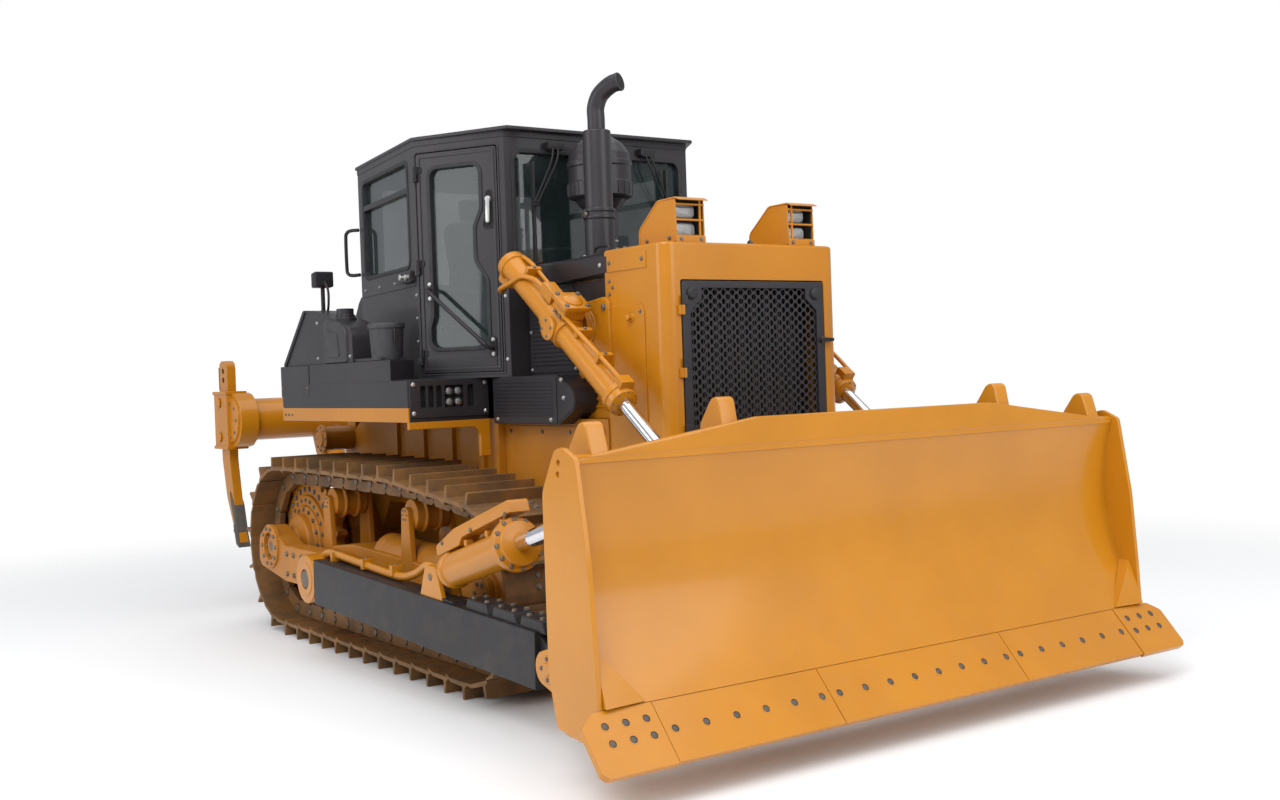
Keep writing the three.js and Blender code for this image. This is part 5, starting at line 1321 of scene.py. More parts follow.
def grille_door():
    """Frame with broad top corners, staggered round holes, rubber stops and a latch."""
    made = Assembly()
    front = GUARD_FRONT - 4
    low, high, half = 1290, 2185, 482
    outer = [(-half, low, 12), (half, low, 12), (half, high, 14), (-half, high, 14)]
    inner = [
        (52 - half, low + 46, 12), (half - 52, low + 46, 12), (half - 52, high - 158, 14),
        (half - 128, high - 92, 14), (half - 128, high - 38, 8), (128 - half, high - 38, 8),
        (128 - half, high - 92, 14), (52 - half, high - 158, 14),
    ]
    made.prism("graphite", [outer, inner], front, front + 40, 4, "xz")
    perforated(made, "graphite", (-478, 478), (low + 30, high - 40), front + 12, 4)
    for side in (-1, 1):
        x = side * (half - 62)
        made.spun("rubber", (x, front, high - 66), AHEAD, [
            (0, 0), (0, 32, 3), (8, 32, 3), (17, 22, 6), (19, 0),
        ], 32)
    made.spun("bolt", (half - 20, front, 1868), AHEAD, [
        (0, 0), (0, 16, 2), (10, 16, 3), (12, 8), (12, 0),
    ], 24)
    made.prism("black", [
        (half - 40, 1856, 8), (half + 46, 1860, 8), (half + 46, 1878, 8), (half - 40, 1882, 8),
    ], front - 22, front - 8, 3, "xz")
    made.rod("black", (half + 40, front - 28, 1869), (half + 40, front + 2, 1869), 9, 16, 2)
    for z in (1400, 1740, 2060):
        made.rod("graphite", (-484, -3722, z + 0.3), (-484, -3722, z + 50), 9, 20, 2)
        made.block("graphite", (-479, -458), (-3728, -3706), (z, z + 50), 3)
    return made


def headlamp():
    """Two ribbed lamps behind bars in a yellow hood with a visor."""
    made = Assembly()
    x0, x1, y, z = -470, -285, -3666, 2383.5
    cheek = [
        (y + 8, z), (y + 2, z + 60, 20), (y + 6, z + 222, 6), (y + 160, z + 226, 60), (y + 330, z + 90, 60),
        (y + 330, z),
    ]
    for a, b in ((x0, x0 + 6), (x1 - 6, x1)):
        made.prism("yellow", cheek, a, b, 2)
    roof = [
        (y - 26, z + 214), (y - 26, z + 220, 3), (y + 4, z + 232, 10), (y + 158, z + 230, 50),
        (y + 332, z + 92, 50), (y + 332, z), (y + 324, z), (y + 324, z + 88, 40), (y + 154, z + 222, 40),
        (y + 6, z + 224, 8),
    ]
    made.prism("yellow", roof, x0 - 3, x1 + 3, 1.5)
    made.block("yellow", (x0, x1), (y + 2, y + 330), (z, z + 8), 2)
    made.prism("yellow", [(y - 4, z), (y - 4, z + 34, 4), (y + 8, z + 40), (y + 8, z)], x0, x1, 2)
    # near-black blocks on the hood's inner walls, back and roof: painted shade inside the hood
    for a, b in ((x0 + 5, x0 + 9), (x1 - 9, x1 - 5)):
        made.block("dark", (a, b), (y + 16, y + 156), (z + 8, z + 220), 1)
    made.block("dark", (x0 + 5, x1 - 5), (y + 150, y + 156), (z + 6, z + 222), 1)
    made.block("dark", (x0 + 5, x1 - 5), (y + 16, y + 156), (z + 214, z + 219), 1)
    for h in (68, 166):
        made.prism("black", oblong(
            (x0 + 16, x1 - 16), (z + h - 44, z + h + 44), 30,
        ), y + 60, y + 150, 6, "xz")
        made.prism("lamp", oblong((x0 + 26, x1 - 26), (z + h - 35, z + h + 35), 24), y + 52, y + 66, 6, "xz")
    for h in (116, 196):
        made.rod("yellow", (x0 + 2, y + 6, z + h), (x1 - 2, y + 6, z + h), 6, 12, 1)
    made.block("yellow", (x1 - 34, x1 - 24), (y + 1, y + 9), (z + 30, z + 224), 2)
    made.bolts("bolt", [(x, y - 4, z + 18) for x in (x0 + 28, x1 - 28)], AHEAD, 9)
    made.bolts("bolt", [(x0 - 3, y + dy, z + 26) for dy in (60, 260)], RIGHT, 9)
    made.pipe("rubber", [
        ((x0 + x1) / 2, y + 300, z + 30), ((x0 + x1) / 2, y + 350, z + 26), ((x0 + x1) / 2, y + 372, z + 4),
    ], 8)
    return made


def radiator_core():
    """Tube-and-fin block in its frame."""
    made = Assembly()
    low, high = 1060, 2342
    # near-black block behind the fins: painted shade for the depth of the core
    made.block("dark", (-430, 430), (-3560, -3420), (low + 10, high - 10), 2)
    for x in range(-424, 425, 22):
        made.block("iron", (x - 3, x + 3), (-3572, -3550), (low + 20, high - 20), 1)
    for z in (low, high - 60):
        made.block("black", (-440, 440), (-3576, -3416), (z, z + 60), 8)
    for x in (-440, 415):
        made.block("black", (x, x + 25), (-3576, -3416), (low, high), 5)
    return made


def exhaust_stack():
    made = Assembly()
    x, y = -340, -2766
    made.spun("graphite", (x, y, 2376.5), UP, [
        (0, 0), (0, 96, 5), (10, 96, 4), (14, 86, 3), (222, 86, 4), (226, 93, 4), (240, 93, 4),
        (244, 87, 3), (262, 87, 3), (266, 93, 4), (282, 93, 4), (286, 80, 3), (600, 80, 3), (724, 80, 8),
        (732, 54, 4), (732, 0),
    ], 56)
    made.pipe("graphite", [
        (x, y, 3080), (x, y, 3170), (x, y - 1, 3235), (x + 14, y - 30, 3302), (x + 46, y - 92, 3350),
        (x + 74, y - 142, 3362),
    ], 50, 32, 10)
    tip = Vector((x + 74, y - 142, 3362))
    out = Vector((28, -50, 12)).normalized()
    made.ring("graphite", tip - out * 14, tip + out * 3, 53, 45, 36, 3)
    # near-black disc in the pipe's mouth: painted shade inside the pipe
    made.turned("dark", tip - out * 4, tip + out, [(0, 0), (0, 46), (6.2, 45.5), (6.2, 0)], 32)
    made.bolts("bolt", [(x + 74 * c, y + 74 * s, 2386.5) for c, s in circle((0, 0), 1, 6)], UP, 9)
    made.bolt("bolt", (x - 100, y - 12, 2628), AHEAD, 9)
    made.block("graphite", (x - 112, x - 88), (y - 12, y + 12), (2606, 2652), 3)
    return made


def precleaner():
    """Domed dust bowl on its neck."""
    made = Assembly()
    x, y, z = -150, -2500, 2376.5
    made.spun("graphite", (x, y, z), UP, [
        (0, 0), (0, 108, 5), (12, 108, 4), (16, 95, 3), (300, 95, 10), (372, 150, 20), (384, 182, 10),
        (392, 190, 4), (470, 192, 3), (478, 187, 3), (560, 187, 3), (566, 194, 3), (592, 194, 4),
        (598, 186, 4), (640, 180, 30), (700, 140, 60), (742, 80, 40), (752, 40, 8), (760, 36, 3), (760, 0),
    ], 72, 1.6)
    for a, b in circle((0, 0), 191, 24):
        made.rod("graphite", (x + a, y + b, z + 398), (x + a, y + b, z + 466), 4.5, 8, 2)
    made.spun("bolt", (x, y, z + 758), UP, [(0, 0), (0, 20, 2), (4, 14, 3), (16, 14, 3), (18, 0)], 6)
    for a, b in circle((0, 0), 193, 3):
        made.block("zinc", (x + a - 7, x + a + 7), (y + b - 7, y + b + 7), (z + 540, z + 612), 3)
    made.ring("zinc", (x, y, z + 120), (x, y, z + 134), 98, 94, 40, 2)
    return made


EXTRA = {}
guard = Assembly().prism("yellow", [
    (-GUARD_SIDE, GUARD_REAR), (-GUARD_SIDE, GUARD_FRONT, 70), (GUARD_SIDE, GUARD_FRONT, 70),
    (GUARD_SIDE, GUARD_REAR),
], 1000, GUARD_TOP, 16, "xy", 1.6)
guard = carved(guard, "yellow", [
    Assembly().block(
        "yellow", (40 - GUARD_SIDE, GUARD_SIDE - 40), (GUARD_FRONT + 40, GUARD_REAR + 50),
        (980, GUARD_TOP - 40), 0,
    ),
    Assembly().prism(
        "yellow", oblong((-488, 488), (1284, 2191), 14), GUARD_FRONT - 30, GUARD_FRONT + 60, 0, "xz",
    ),
])
guard.merge(guard_details()).finish("radiator_shell", "tractor", "yellow_paint", ["radiator_guard"])
grille_door().finish("grille_frame", "grille_door", "graphite_paint", ["grille_door"])
both(headlamp(), "headlamp_hood", "yellow_paint", "headlamp")
radiator_core().finish("radiator_fins", "tractor", "black_trim", ["radiator_core"])
exhaust_stack().finish("exhaust_pipe", "tractor", "graphite_paint", ["exhaust_stack"])
precleaner().finish("precleaner_bowl", "tractor", "graphite_paint", ["precleaner"])


# ---------------------------------------------------------------- cab
def wall(start, end):
    """A frame on a cab wall: distance along it, height, and depth outside it."""
    along = (Vector(end) - Vector(start)).normalized()
    return Matrix(
        ((along.x, 0, along.y, start[0]), (along.y, 0, -along.x, start[1]), (0, 1, 0, 0), (0, 0, 0, 1))
    )


CAB_REAR, CAB_MIDDLE, CAB_FRONT = (-800, -505), (-975, -1713), (-665, -2270)
SIDE_WALL = wall(CAB_REAR, CAB_MIDDLE)
DOOR_WALL = wall(CAB_MIDDLE, CAB_FRONT)
FRONT_WALL = wall(CAB_FRONT, (665, -2270))
REAR_WALL = wall((800, -505), CAB_REAR)
DOOR_WINDOW = [
    (85, 1905, 60), (500, 1905, 60), (500, 2300, 60), (420, 2420, 80), (420, 2620, 80), (470, 2720, 60),
    (470, 2990, 60), (110, 2990, 60), (110, 2100, 80), (85, 2040, 60),
]
SIDE_WINDOW = oblong((110, 1090), (2420, 3060), 50)
FRONT_WINDOW = oblong((60, 1270), (2310, 3050), 60)
BACK_WINDOW = oblong((150, 1450), (2380, 3050), 60)
HINGE_Z = (1860, 2400, 2960)


def band(made, finish, outline, frame, outer, inner, low, high, bevel=4):
    """A raised band that follows an outline on a wall, between two distances outside it."""
    loop = rounded(outline)
    loop = loop if area(loop) > 0 else loop[::-1]
    rims = [[tuple(p) for p in grown(loop, by)] for by in (outer, inner)]
    made.prism(finish, rims, low, high, bevel=bevel, frame=frame)


def wall_bolts(made, frame, places, depth=0, size=9, finish="zinc"):
    out = frame.to_3x3() @ Vector(UP)
    made.bolts(finish, [frame @ Vector((u, z, depth)) for u, z in places], out, size)


def wall_pipe(made, finish, frame, route, radius):
    made.pipe(finish, [frame @ Vector(p) for p in route], radius, 14, 6)


def hinge_sleeves(made, low, high):
    """Black sleeves over the door's three hinges."""
    for z in HINGE_Z:
        foot, top = (DOOR_WALL @ Vector((22, z + h, 19)) for h in (low, high))
        made.rod("black", foot, top, 13.2, 20, 2)


def cab_side():
    made = Assembly()
    band(made, "rubber", SIDE_WINDOW, SIDE_WALL, 16, -10, -34, 6, 5)
    made.prism("black", oblong((98, 1102), (2868, 2906), 4), -34, 3, bevel=5, frame=SIDE_WALL)
    band(made, "graphite", [
        (16, 1759), (591, 1759), (591, 3086, 15), (16, 3086, 15),
    ], DOOR_WALL, 11, 0.5, -3, 5, 3)
    hinge_sleeves(made, -46, -1)
    wall_bolts(
        made, SIDE_WALL,
        [(1196, z) for z in (1830, 1960, 2100, 2240)] + [(90, 2340), (420, 2340), (760, 2340)], 0, 8,
    )
    wall_bolts(made, DOOR_WALL, [(614, z) for z in (1830, 2200)], 0, 8)
    made.prism("graphite", oblong((20, 1190), (2296, 2318), 10), -2, 6, bevel=4, frame=SIDE_WALL)
    made.prism("black", [
        (985, 2322, 8), (1185, 2322, 8), (1185, 2392, 14), (985, 2378, 14),
    ], -2, 34, bevel=5, frame=SIDE_WALL)
    wall_bolts(made, SIDE_WALL, [(1010, 2350), (1065, 2352), (1150, 2356)], 34, 10)
    catch = SIDE_WALL @ Vector((1108, 2352, 34))
    out = SIDE_WALL.to_3x3() @ Vector(UP)
    made.spun("zinc", catch, out, [
        (0, 0), (0, 20, 2), (12, 20, 2), (14, 12, 3), (34, 12, 2), (36, 19, 4), (46, 19, 5), (48, 0),
    ], 24)
    loop = [
        (26, 2757, -10), (26, 2757, 60), (26, 2740, 92), (26, 2700, 100), (26, 2510, 100), (26, 2470, 92),
        (26, 2454, 60), (26, 2454, -10),
    ]
    corner = Matrix.Translation((*CAB_REAR, 0)) @ Matrix.Rotation(math.radians(-62), 4, "Z")
    made.pipe("black", [corner @ Vector((-depth, -u, z)) for u, z, depth in loop], 12, 14, 5)
    for u in (60, 1540):
        wall_bolts(made, REAR_WALL, [(u, z) for z in (1830, 2100, 2380)], 0, 8)
    return made


def cab_shell():
    made = Assembly()
    half = cab_side()
    made.merge(half)
    made.merge(half.mirrored())
    band(made, "rubber", FRONT_WINDOW, FRONT_WALL, 17, -10, -34, 7, 5)
    band(made, "rubber", BACK_WINDOW, REAR_WALL, 17, -10, -34, 7, 5)
    made.prism("graphite", oblong((150, 1180), (1790, 2250), 20), -2, 5, bevel=3, frame=FRONT_WALL)
    wall_bolts(made, FRONT_WALL, [(u, z) for u in (180, 1150) for z in (1830, 2210)], 5, 8)
    for u, lean in ((330, -150), (1000, 150)):
        made.prism("black", oblong((u - 55, u + 55), (3062, 3112), 12), -2, 52, bevel=8, frame=FRONT_WALL)
        for shift in (-18, 18):
            wall_pipe(made, "black", FRONT_WALL, [
                (u + shift, 3084, 40), (u + shift + lean * 0.2, 2980, 62),
                (u + shift * 0.6 + lean, 2740, 44),
            ], 6)
        made.prism("black", oblong(
            (u + lean - 26, u + lean + 26), (2722, 2756), 5,
        ), 34, 50, bevel=3, frame=FRONT_WALL)
        made.prism("rubber", oblong(
            (u + lean - 7, u + lean + 7), (2400, 2990), 3,
        ), 2, 34, bevel=3, frame=FRONT_WALL)
    made.prism("plastic", oblong((200, 1400), (1800, 2300), 20), -2, 7, bevel=4, frame=REAR_WALL)
    for z in range(1850, 2260, 34):
        made.prism("plastic", oblong((260, 1340), (z, z + 16), 6), 5, 14, frame=REAR_WALL)
    return made


def cab_door():
    """Pressed frame, window gasket, hinges, handle in its recess, grab bar and inner trim."""
    made = Assembly()
    band(made, "rubber", DOOR_WINDOW, DOOR_WALL, 15, -10, -30, 11, 5)
    band(made, "graphite", oblong((22, 585), (1765, 3080)), DOOR_WALL, -12, -28, 2, 9, 4)
    hinge_sleeves(made, 1.5, 46)
    for z in HINGE_Z:
        made.prism("black", [
            (26, z + 1.5, 4), (60, z + 6, 4), (60, z + 42, 4), (26, z + 46, 4),
        ], 2, 10, bevel=2, frame=DOOR_WALL)
    recess = [(474, 2606, 20), (556, 2606, 20), (556, 2822, 20), (508, 2822, 20), (508, 2690, 20)]
    band(made, "black", recess, DOOR_WALL, 6, -5, 2, 9, 3)
    # near-black floor of the handle recess: painted shade
    made.prism("dark", recess, 2, 5.5, bevel=1, frame=DOOR_WALL)
    made.prism("zinc", [
        (512, 2632, 12), (540, 2632, 12), (544, 2786, 14), (516, 2786, 14),
    ], 14, 30, bevel=6, frame=DOOR_WALL)
    made.spun(
        "zinc", DOOR_WALL @ Vector((530, 2772, 4)), DOOR_WALL.to_3x3() @ Vector(UP),
        [(0, 0), (0, 20, 2), (24, 18, 3), (28, 0)], 24,
    )
    bar = [
        (93, 2262, 6), (93, 2262, 40), (118, 2248, 62), (150, 2222, 64), (470, 1946, 64), (505, 1916, 62),
        (525, 1898, 40), (525, 1898, 6),
    ]
    wall_pipe(made, "black", DOOR_WALL, bar, 12.5)
    for u, z in ((93, 2254), (525, 1906)):
        made.prism("black", oblong((u - 24, u + 24), (z - 62, z + 62), 18), 2, 12, bevel=4, frame=DOOR_WALL)
        wall_bolts(made, DOOR_WALL, [(u, z - 42), (u, z + 42)], 11, 10)
    made.prism("graphite", oblong((60, 548), (1792, 1868), 14), 2, 8, bevel=3, frame=DOOR_WALL)
    band(made, "plastic", DOOR_WINDOW, DOOR_WALL, 54, 20, -53, -43, 3)
    # near-black patch behind the inner trim: painted shade in a pocket
    made.prism("dark", oblong((500, 556), (2470, 2560), 10), -60, -51, bevel=4, frame=DOOR_WALL)
    wall_pipe(made, "black", DOOR_WALL, [
        (120, 2030, -50), (124, 2036, -82), (180, 2036, -88), (420, 2036, -88), (470, 2036, -82),
        (474, 2030, -50),
    ], 11)
    return made


def cab_roof():
    made = Assembly()
    plan = [(-665, -2310), (-985, -1735), (-812, -493), (812, -493), (985, -1735), (665, -2310)]
    loop = [tuple(p) for p in grown(rounded(plan) if area(rounded(plan)) > 0 else rounded(plan)[::-1], -26)]
    made.prism("graphite", [
        loop, [tuple(p) for p in grown([Vector(p) for p in loop], -46)],
    ], 3183, 3190, 4, "xy")
    for x in (-420, 0, 420):
        made.prism("graphite", oblong((x - 50, x + 50), (-700, -1900), 30), 3203, 3212, 6, "xy")
    made.bolts("zinc", [
        (s * x, y, 3188)
        for s in (-1, 1)
        for x, y in ((560, -2240), (880, -1720), (740, -560), (810, -1150))
    ], UP, 9)
    made.bolts("zinc", [(x, y, 3188) for x in (-250, 0, 250) for y in (-2262, -530)], UP, 9)
    return made


def seat():
    """Cushions with piping, arm rests and a folded headrest."""
    made = Assembly()
    made.prism("seat", [
        (-1322, 2090, 20), (-1330, 2218, 50), (-1060, 2236, 60), (-812, 2212, 40), (-812, 2090, 20),
    ], -268, 268, 26)
    made.prism("seat", [
        (-905, 2200, 30), (-800, 2190, 30), (-668, 2790, 50), (-776, 2812, 50),
    ], -248, 248, 26)
    made.prism("seat", [
        (-772, 2820, 30), (-690, 2806, 30), (-662, 2960, 40), (-740, 2976, 40),
    ], -140, 140, 24)
    for side in (-1, 1):
        made.pipe("plastic", [
            (side * 250, -1310, 2214), (side * 256, -1060, 2238), (side * 256, -830, 2216),
        ], 7, 10)
        x = side * 300
        made.prism(
            "plastic", oblong((-1230, -880), (2400, 2450), 30), min(x, x - side * 70),
            max(x, x - side * 70), 14,
        )
        made.rod("iron", (x - side * 35, -900, 2230), (x - side * 35, -900, 2405), 16)
    for x in (-60, 60):
        made.rod("zinc", (x, -724, 2760), (x, -706, 2850), 7, 12)
    for k in range(6):
        made.ring(
            "rubber", (0, -1075, 1790 + k * 46), (0, -1075, 1830 + k * 46), 178 - k % 2 * 14, 60, 32, 12,
        )
    return made


def console():
    """Instruments, a monitor, levers and pedals."""
    made = Assembly()
    made.prism("plastic", oblong((-360, 360), (2330, 2420), 30), -2086, -2060, 8, "xz")
    for x in (-220, -110, 0, 110, 220):
        made.spun("black", (x, -2062, 2378), BEHIND, [
            (0, 0), (0, 40, 3), (12, 40, 3), (12, 34, 1), (8, 33), (8, 0),
        ], 32)
        made.rod("zinc", (x, -2056, 2378), (x, -2052, 2378), 31, 28, 0.5)
    made.block("plastic", (120, 360), (-2040, -2010), (2430, 2600), 10)
    made.block("dark", (135, 345), (-2010, -2006), (2445, 2585), 2)
    for x, y in ((-390, -1010), (-390, -1160)):
        made.pipe("iron", [(x, y, 2310), (x, y - 10, 2400), (x + 6, y - 30, 2500)], 9)
        made.turned(
            "rubber", (x + 6, y - 30, 2490), (x + 6, y - 34, 2510),
            [(0, 0), (0, 14, 4), (30, 24, 10), (80, 20, 12), (92, 0)], 20,
        )
    for x in (-180, 0, 180):
        made.prism("rubber", [
            (-1940, 1890, 8), (-1860, 1960, 8), (-1850, 1950, 8), (-1930, 1880, 8),
        ], x - 50, x + 50, 4)
        made.pipe("iron", [(x, -1960, 1800), (x, -1950, 1860), (x, -1905, 1915)], 8)
    return made


cab_shell().finish("cab_trim", "tractor", "graphite_paint")
EXTRA["cab_door_right"] = cab_door()
EXTRA["cab_door_left"] = cab_door().mirrored()
EXTRA["cab_roof"] = cab_roof()
seat().finish("seat_cushions", "tractor", "seat_vinyl")
EXTRA["control_console"] = console()


# ---------------------------------------------------------------- fenders, tanks and side panels
FENDER_SIDE = -1223


def fender():
    """Yellow rail under a dark rail, slotted front panel with its lamps, and steps."""
    made = Assembly()
    x = FENDER_SIDE
    made.prism("yellow", oblong((-75, -2041), (1481, 1566)), x - 5, x + 8, 4)
    made.prism("graphite", oblong((-73, -2036), (1571, 1725)), x - 3, x + 8, 4)
    made.prism("graphite", oblong((-60, -560), (1640, 1848)), x - 5, x + 8, 4)
    made.bolts("bolt", [(x - 5, y, 1520) for y in (-130, -190, -250)], RIGHT, 8)
    made.bolts("bolt", [(x - 5, y, 1700) for y in (-90, -540)], RIGHT, 8)
    made.prism("yellow", [
        (-1224, 1482), (-1224, 1440), (-762, 1440, 60), (-762, 1262), (-698, 1262), (-698, 1482),
    ], -2046, -2014, 4, "xz")
    panel = oblong((-1218, -704), (1506, 1724), 8)
    slots = [oblong((a, a + 34), (1560, 1690), 9) for a in (-1150, -1098, -1046)]
    slots += [oblong((-992, -870), (1560, 1690), 6), oblong((-842, -800), (1560, 1690), 9)]
    made.prism("graphite", [panel] + slots, -2054, -2036, 3, "xz")
    # near-black block behind the slotted panel: painted shade behind its slots
    made.block("dark", (-1162, -764), (-2020, -2014), (1545, 1704), 1)
    for cx in (-960, -902):
        for cz in (1594, 1656):
            made.spun("black", (cx, -2022, cz), AHEAD, [
                (0, 0), (0, 28, 2), (22, 28, 2), (22, 23, 1), (17, 22),
            ], 28)
            made.spun("lamp", (cx, -2022, cz), AHEAD, [
                (0, 0), (10, 22), (18, 20, 4), (22, 9, 6), (23, 0),
            ], 24)
    made.bolts("zinc", [(a, -2054, b) for a in (-1196, -728) for b in (1532, 1700)], AHEAD, 11)
    for y in range(-1980, -1830, 24):
        made.block("graphite", (-1190, -1000), (y, y + 9), (1725, 1731), 2)
    return made


def tank_rear():
    """The slanted rear plate of the right-hand tank, and a work lamp on its post."""
    made = Assembly()
    made.prism("graphite", [
        (-92, 1852, 10), (-476, 2208, 20), (-500, 2216, 10), (-510, 2196, 10), (-140, 1852, 10),
    ], -1222, -1006, 6)
    made.spun("black", (-1105, -560, 2196), UP, [
        (0, 0), (0, 40, 3), (12, 40, 4), (16, 14, 3), (170, 14, 3), (172, 0),
    ], 24)
    made.prism("black", [
        (-520, 2360, 14), (-600, 2366, 14), (-600, 2470, 14), (-520, 2460, 14),
    ], -1170, -1040, 10)
    made.turned(
        "lamp", (-1105, -522, 2412), (-1105, -514, 2413), [(0, 0), (0, 44, 3), (8, 40, 8), (10, 0)], 32,
    )
    return made


def right_box():
    """Moulded cover, filler cap, bucket rim, and the bolts of the hydraulic tank."""
    made = tank_rear()
    cover = [
        (-820, 1850, 20), (-1180, 1850, 20), (-1180, 2060, 70), (-1060, 2110, 60), (-880, 2140, 50),
        (-820, 2120, 40),
    ]
    made.prism("plastic", cover, -1228, -1150, 22, fine=1.4)
    made.prism("plastic", [
        (-900, 1890, 14), (-1090, 1890, 14), (-1050, 2040, 14), (-900, 2060, 14),
    ], -1234, -1226, 4)
    made.spun("graphite", (-1120, -950, 2100), UP, [
        (0, 0), (0, 72, 4), (40, 72, 4), (44, 60, 3), (62, 60, 4), (66, 50, 3), (96, 50, 8), (102, 0),
    ], 36)
    made.spun("plastic", (-1120, -1560, 1848), UP, [
        (0, 60), (0, 90, 6), (8, 93, 4), (196, 104, 2), (198, 112, 4), (214, 112, 5), (230, 110, 5),
        (230, 98, 4), (210, 95), (60, 84), (60, 0),
    ], 48)
    made.pipe("black", [(-1120, -1662, 2052), (-1120, -1678, 2010), (-1120, -1674, 1950)], 6)
    made.pipe("rubber", [
        (-1105, -596, 2400), (-1105, -650, 2340), (-1100, -640, 2260), (-1090, -600, 2206),
    ], 8)
    made.bolts("zinc", [(-1211, y, z) for y, z in ((-700, 1890), (-700, 2120), (-1215, 1890))], RIGHT, 9)
    return made


def left_box():
    """Door with hinges, latch and vents on the battery box."""
    made = tank_rear().mirrored()
    door = [(-560, 1880, 20), (-1440, 1880, 20), (-1440, 2030, 40), (-900, 2150, 40), (-560, 2170, 20)]
    made.prism("graphite", door, 1206, 1220, 4)
    for y in (-760, -1260):
        made.rod(
            "black", (1222, y - 40, 2116 if y > -1000 else 2030),
            (1222, y + 40, 2124 if y > -1000 else 2046), 9,
        )
    made.prism("black", oblong((-960, -1060), (1920, 1990), 10), 1216, 1228, 4)
    # near-black slits: painted shade in the vents
    for z in (1900, 1925):
        for k in range(8):
            made.block("dark", (1217, 1222), (-900 + k * 38, -874 + k * 38), (z + 4, z + 16), 2)
    return made


def fuel_tank():
    made = Assembly()
    for x in (-400, 400):
        made.prism("graphite", [
            (66, 1500), (66, 1905, 80), (-244, 2336, 120), (-486, 2336, 80), (-486, 2326, 70),
            (-250, 2326, 110), (56, 1900, 70), (56, 1500),
        ], x - 40, x + 40, 3)
    made.spun("graphite", (-380, -360, 2322), UP, [
        (0, 0), (0, 84, 3), (12, 84, 4), (16, 62, 3), (70, 62, 4), (84, 50, 8), (86, 0),
    ], 36)
    made.block("zinc", (-392, -368), (-330, -300), (2398, 2412), 3)
    made.prism("plastic", oblong((-300, 300), (1560, 1800), 10), 58, 68, 4, "xz")
    made.bolts("zinc", [(x, 60, z) for x in (-640, 640) for z in (1540, 1700, 1860)], BEHIND, 10)
    return made


def cowl():
    """Ribbed side grilles, round-ended side boxes and the screen in front of the cab."""
    made = Assembly()
    for side in (-1, 1):
        lo, hi = sorted((side * 698, side * 706))
        made.prism("graphite", oblong((-2110, -2820), (1458, 1720), 8), lo, hi, 3)
        for z in range(1500, 1690, 21):
            made.prism("graphite", oblong((-2150, -2780), (z, z + 9), 4), lo - 4, hi + 4, 3)
        made.bolts(
            "zinc",
            [(side * 706, y, 1480) for y in (-2160, -2760)] + [
                (side * 706, -2900, 1600), (side * 706, -2880, 1700),
            ],
            (side, 0, 0), 10,
        )
        made.prism("graphite", [
            (-2828, 1462), (-3004, 1548, 40), (-3004, 1634, 80), (-2828, 1716),
        ], lo + 2, hi - 2, 2)
        lo, hi = sorted((side * 538, side * 546))
        made.prism("graphite", [
            (-2290, 1740, 10), (-2800, 1740, 10), (-2800, 2218, 30), (-2620, 2218, 30), (-2300, 2262, 30),
        ], lo, hi, 3)
        for z in range(1780, 2190, 24):
            made.prism("black", oblong((-2330, -2770), (z, z + 10), 4), lo - 4, hi + 4, 3)
        made.bolts("zinc", [
            (side * 546, y, z) for y in (-2310, -2785) for z in (1760, 1980)
        ], (side, 0, 0), 9)
    return made


def hood():
    """Side flanges with their slanted ends, joint lines and handles."""
    made = Assembly()
    for side in (-1, 1):
        lo, hi = sorted((side * 572, side * 592))
        flange = [
            (-3196, 2262), (-3196, 2352, 10), (-2470, 2352, 10), (-2360, 2296, 10), (-2500, 2240, 20),
            (-2600, 2238),
        ]
        made.prism("graphite", flange, lo, hi, 5)
        made.spun(
            "black", (side * 590, -2560, 2290), (side, 0, 0), [(0, 0), (0, 22, 2), (10, 20, 4), (12, 0)],
            24,
        )
        made.spun(
            "zinc", (side * 590, -3130, 2306), (side, 0, 0), [(0, 0), (0, 14, 2), (8, 12, 4), (9, 0)], 20,
        )
        made.pipe("black", [
            (side * 480, -3060, 2372), (side * 480, -3050, 2420), (side * 480, -2930, 2420),
            (side * 480, -2920, 2372),
        ], 9, 12)
    made.prism("graphite", oblong((-520, 520), (-2800, -3150), 20), 2374, 2381, 3, "xy")
    made.bolts("zinc", [(x, y, 2381) for x in (-490, 490) for y in (-2830, -3120)], UP, 9)
    return made


def engine_side():
    """The upper dark half of the engine's side panel, with its louvres; the dark plate is partly graphite
    paint and partly painted shade for an opening into the engine bay.
    """
    made = Assembly()
    made.prism("graphite", [(-3172, 2236), (-2823, 2236), (-2823, 2030), (-3172, 2064)], -556, -540, 3)
    for z in range(1540, 1980, 40):
        louvre = [(-556, z), (-562, z + 5), (-562, z + 8), (-548, z + 26), (-548, z)]
        made.prism("yellow", louvre, -3130, -2860, 2, "xz")
    made.bolts("bolt", [(-550, y, z) for y in (-3155, -2840) for z in (1510, 1760, 2000)], RIGHT, 9)
    return made


for name, shape in (("fender", fender()), ("engine_panel", engine_side())):
    EXTRA[name + "_right"] = shape
    EXTRA[name + "_left"] = shape.mirrored()
EXTRA["hydraulic_tank"] = right_box()
EXTRA["battery_box"] = left_box()
EXTRA["fuel_tank"] = fuel_tank()
EXTRA["cowl"] = cowl()
EXTRA["hood"] = hood()


# ---------------------------------------------------------------- ripper and hull
def pin(made, x0, x1, at, radius, keeper=1):
    """A pin through its ears, with end plates and keeper bolts."""
    made.rod("iron", (x0, *at), (x1, *at), radius, 36, 4)
    for x, out in ((x0, -1), (x1, 1)):
        made.spun("yellow", (x, *at), (out, 0, 0), [
            (-2, 0), (-2, radius + 16), (7, radius + 16, 3), (9, radius - 6, 3), (9, 0),
        ], 36)
        if keeper:
            made.bolt_circle("bolt", x + out * 6, at, radius * 0.62, 3, out, 8)


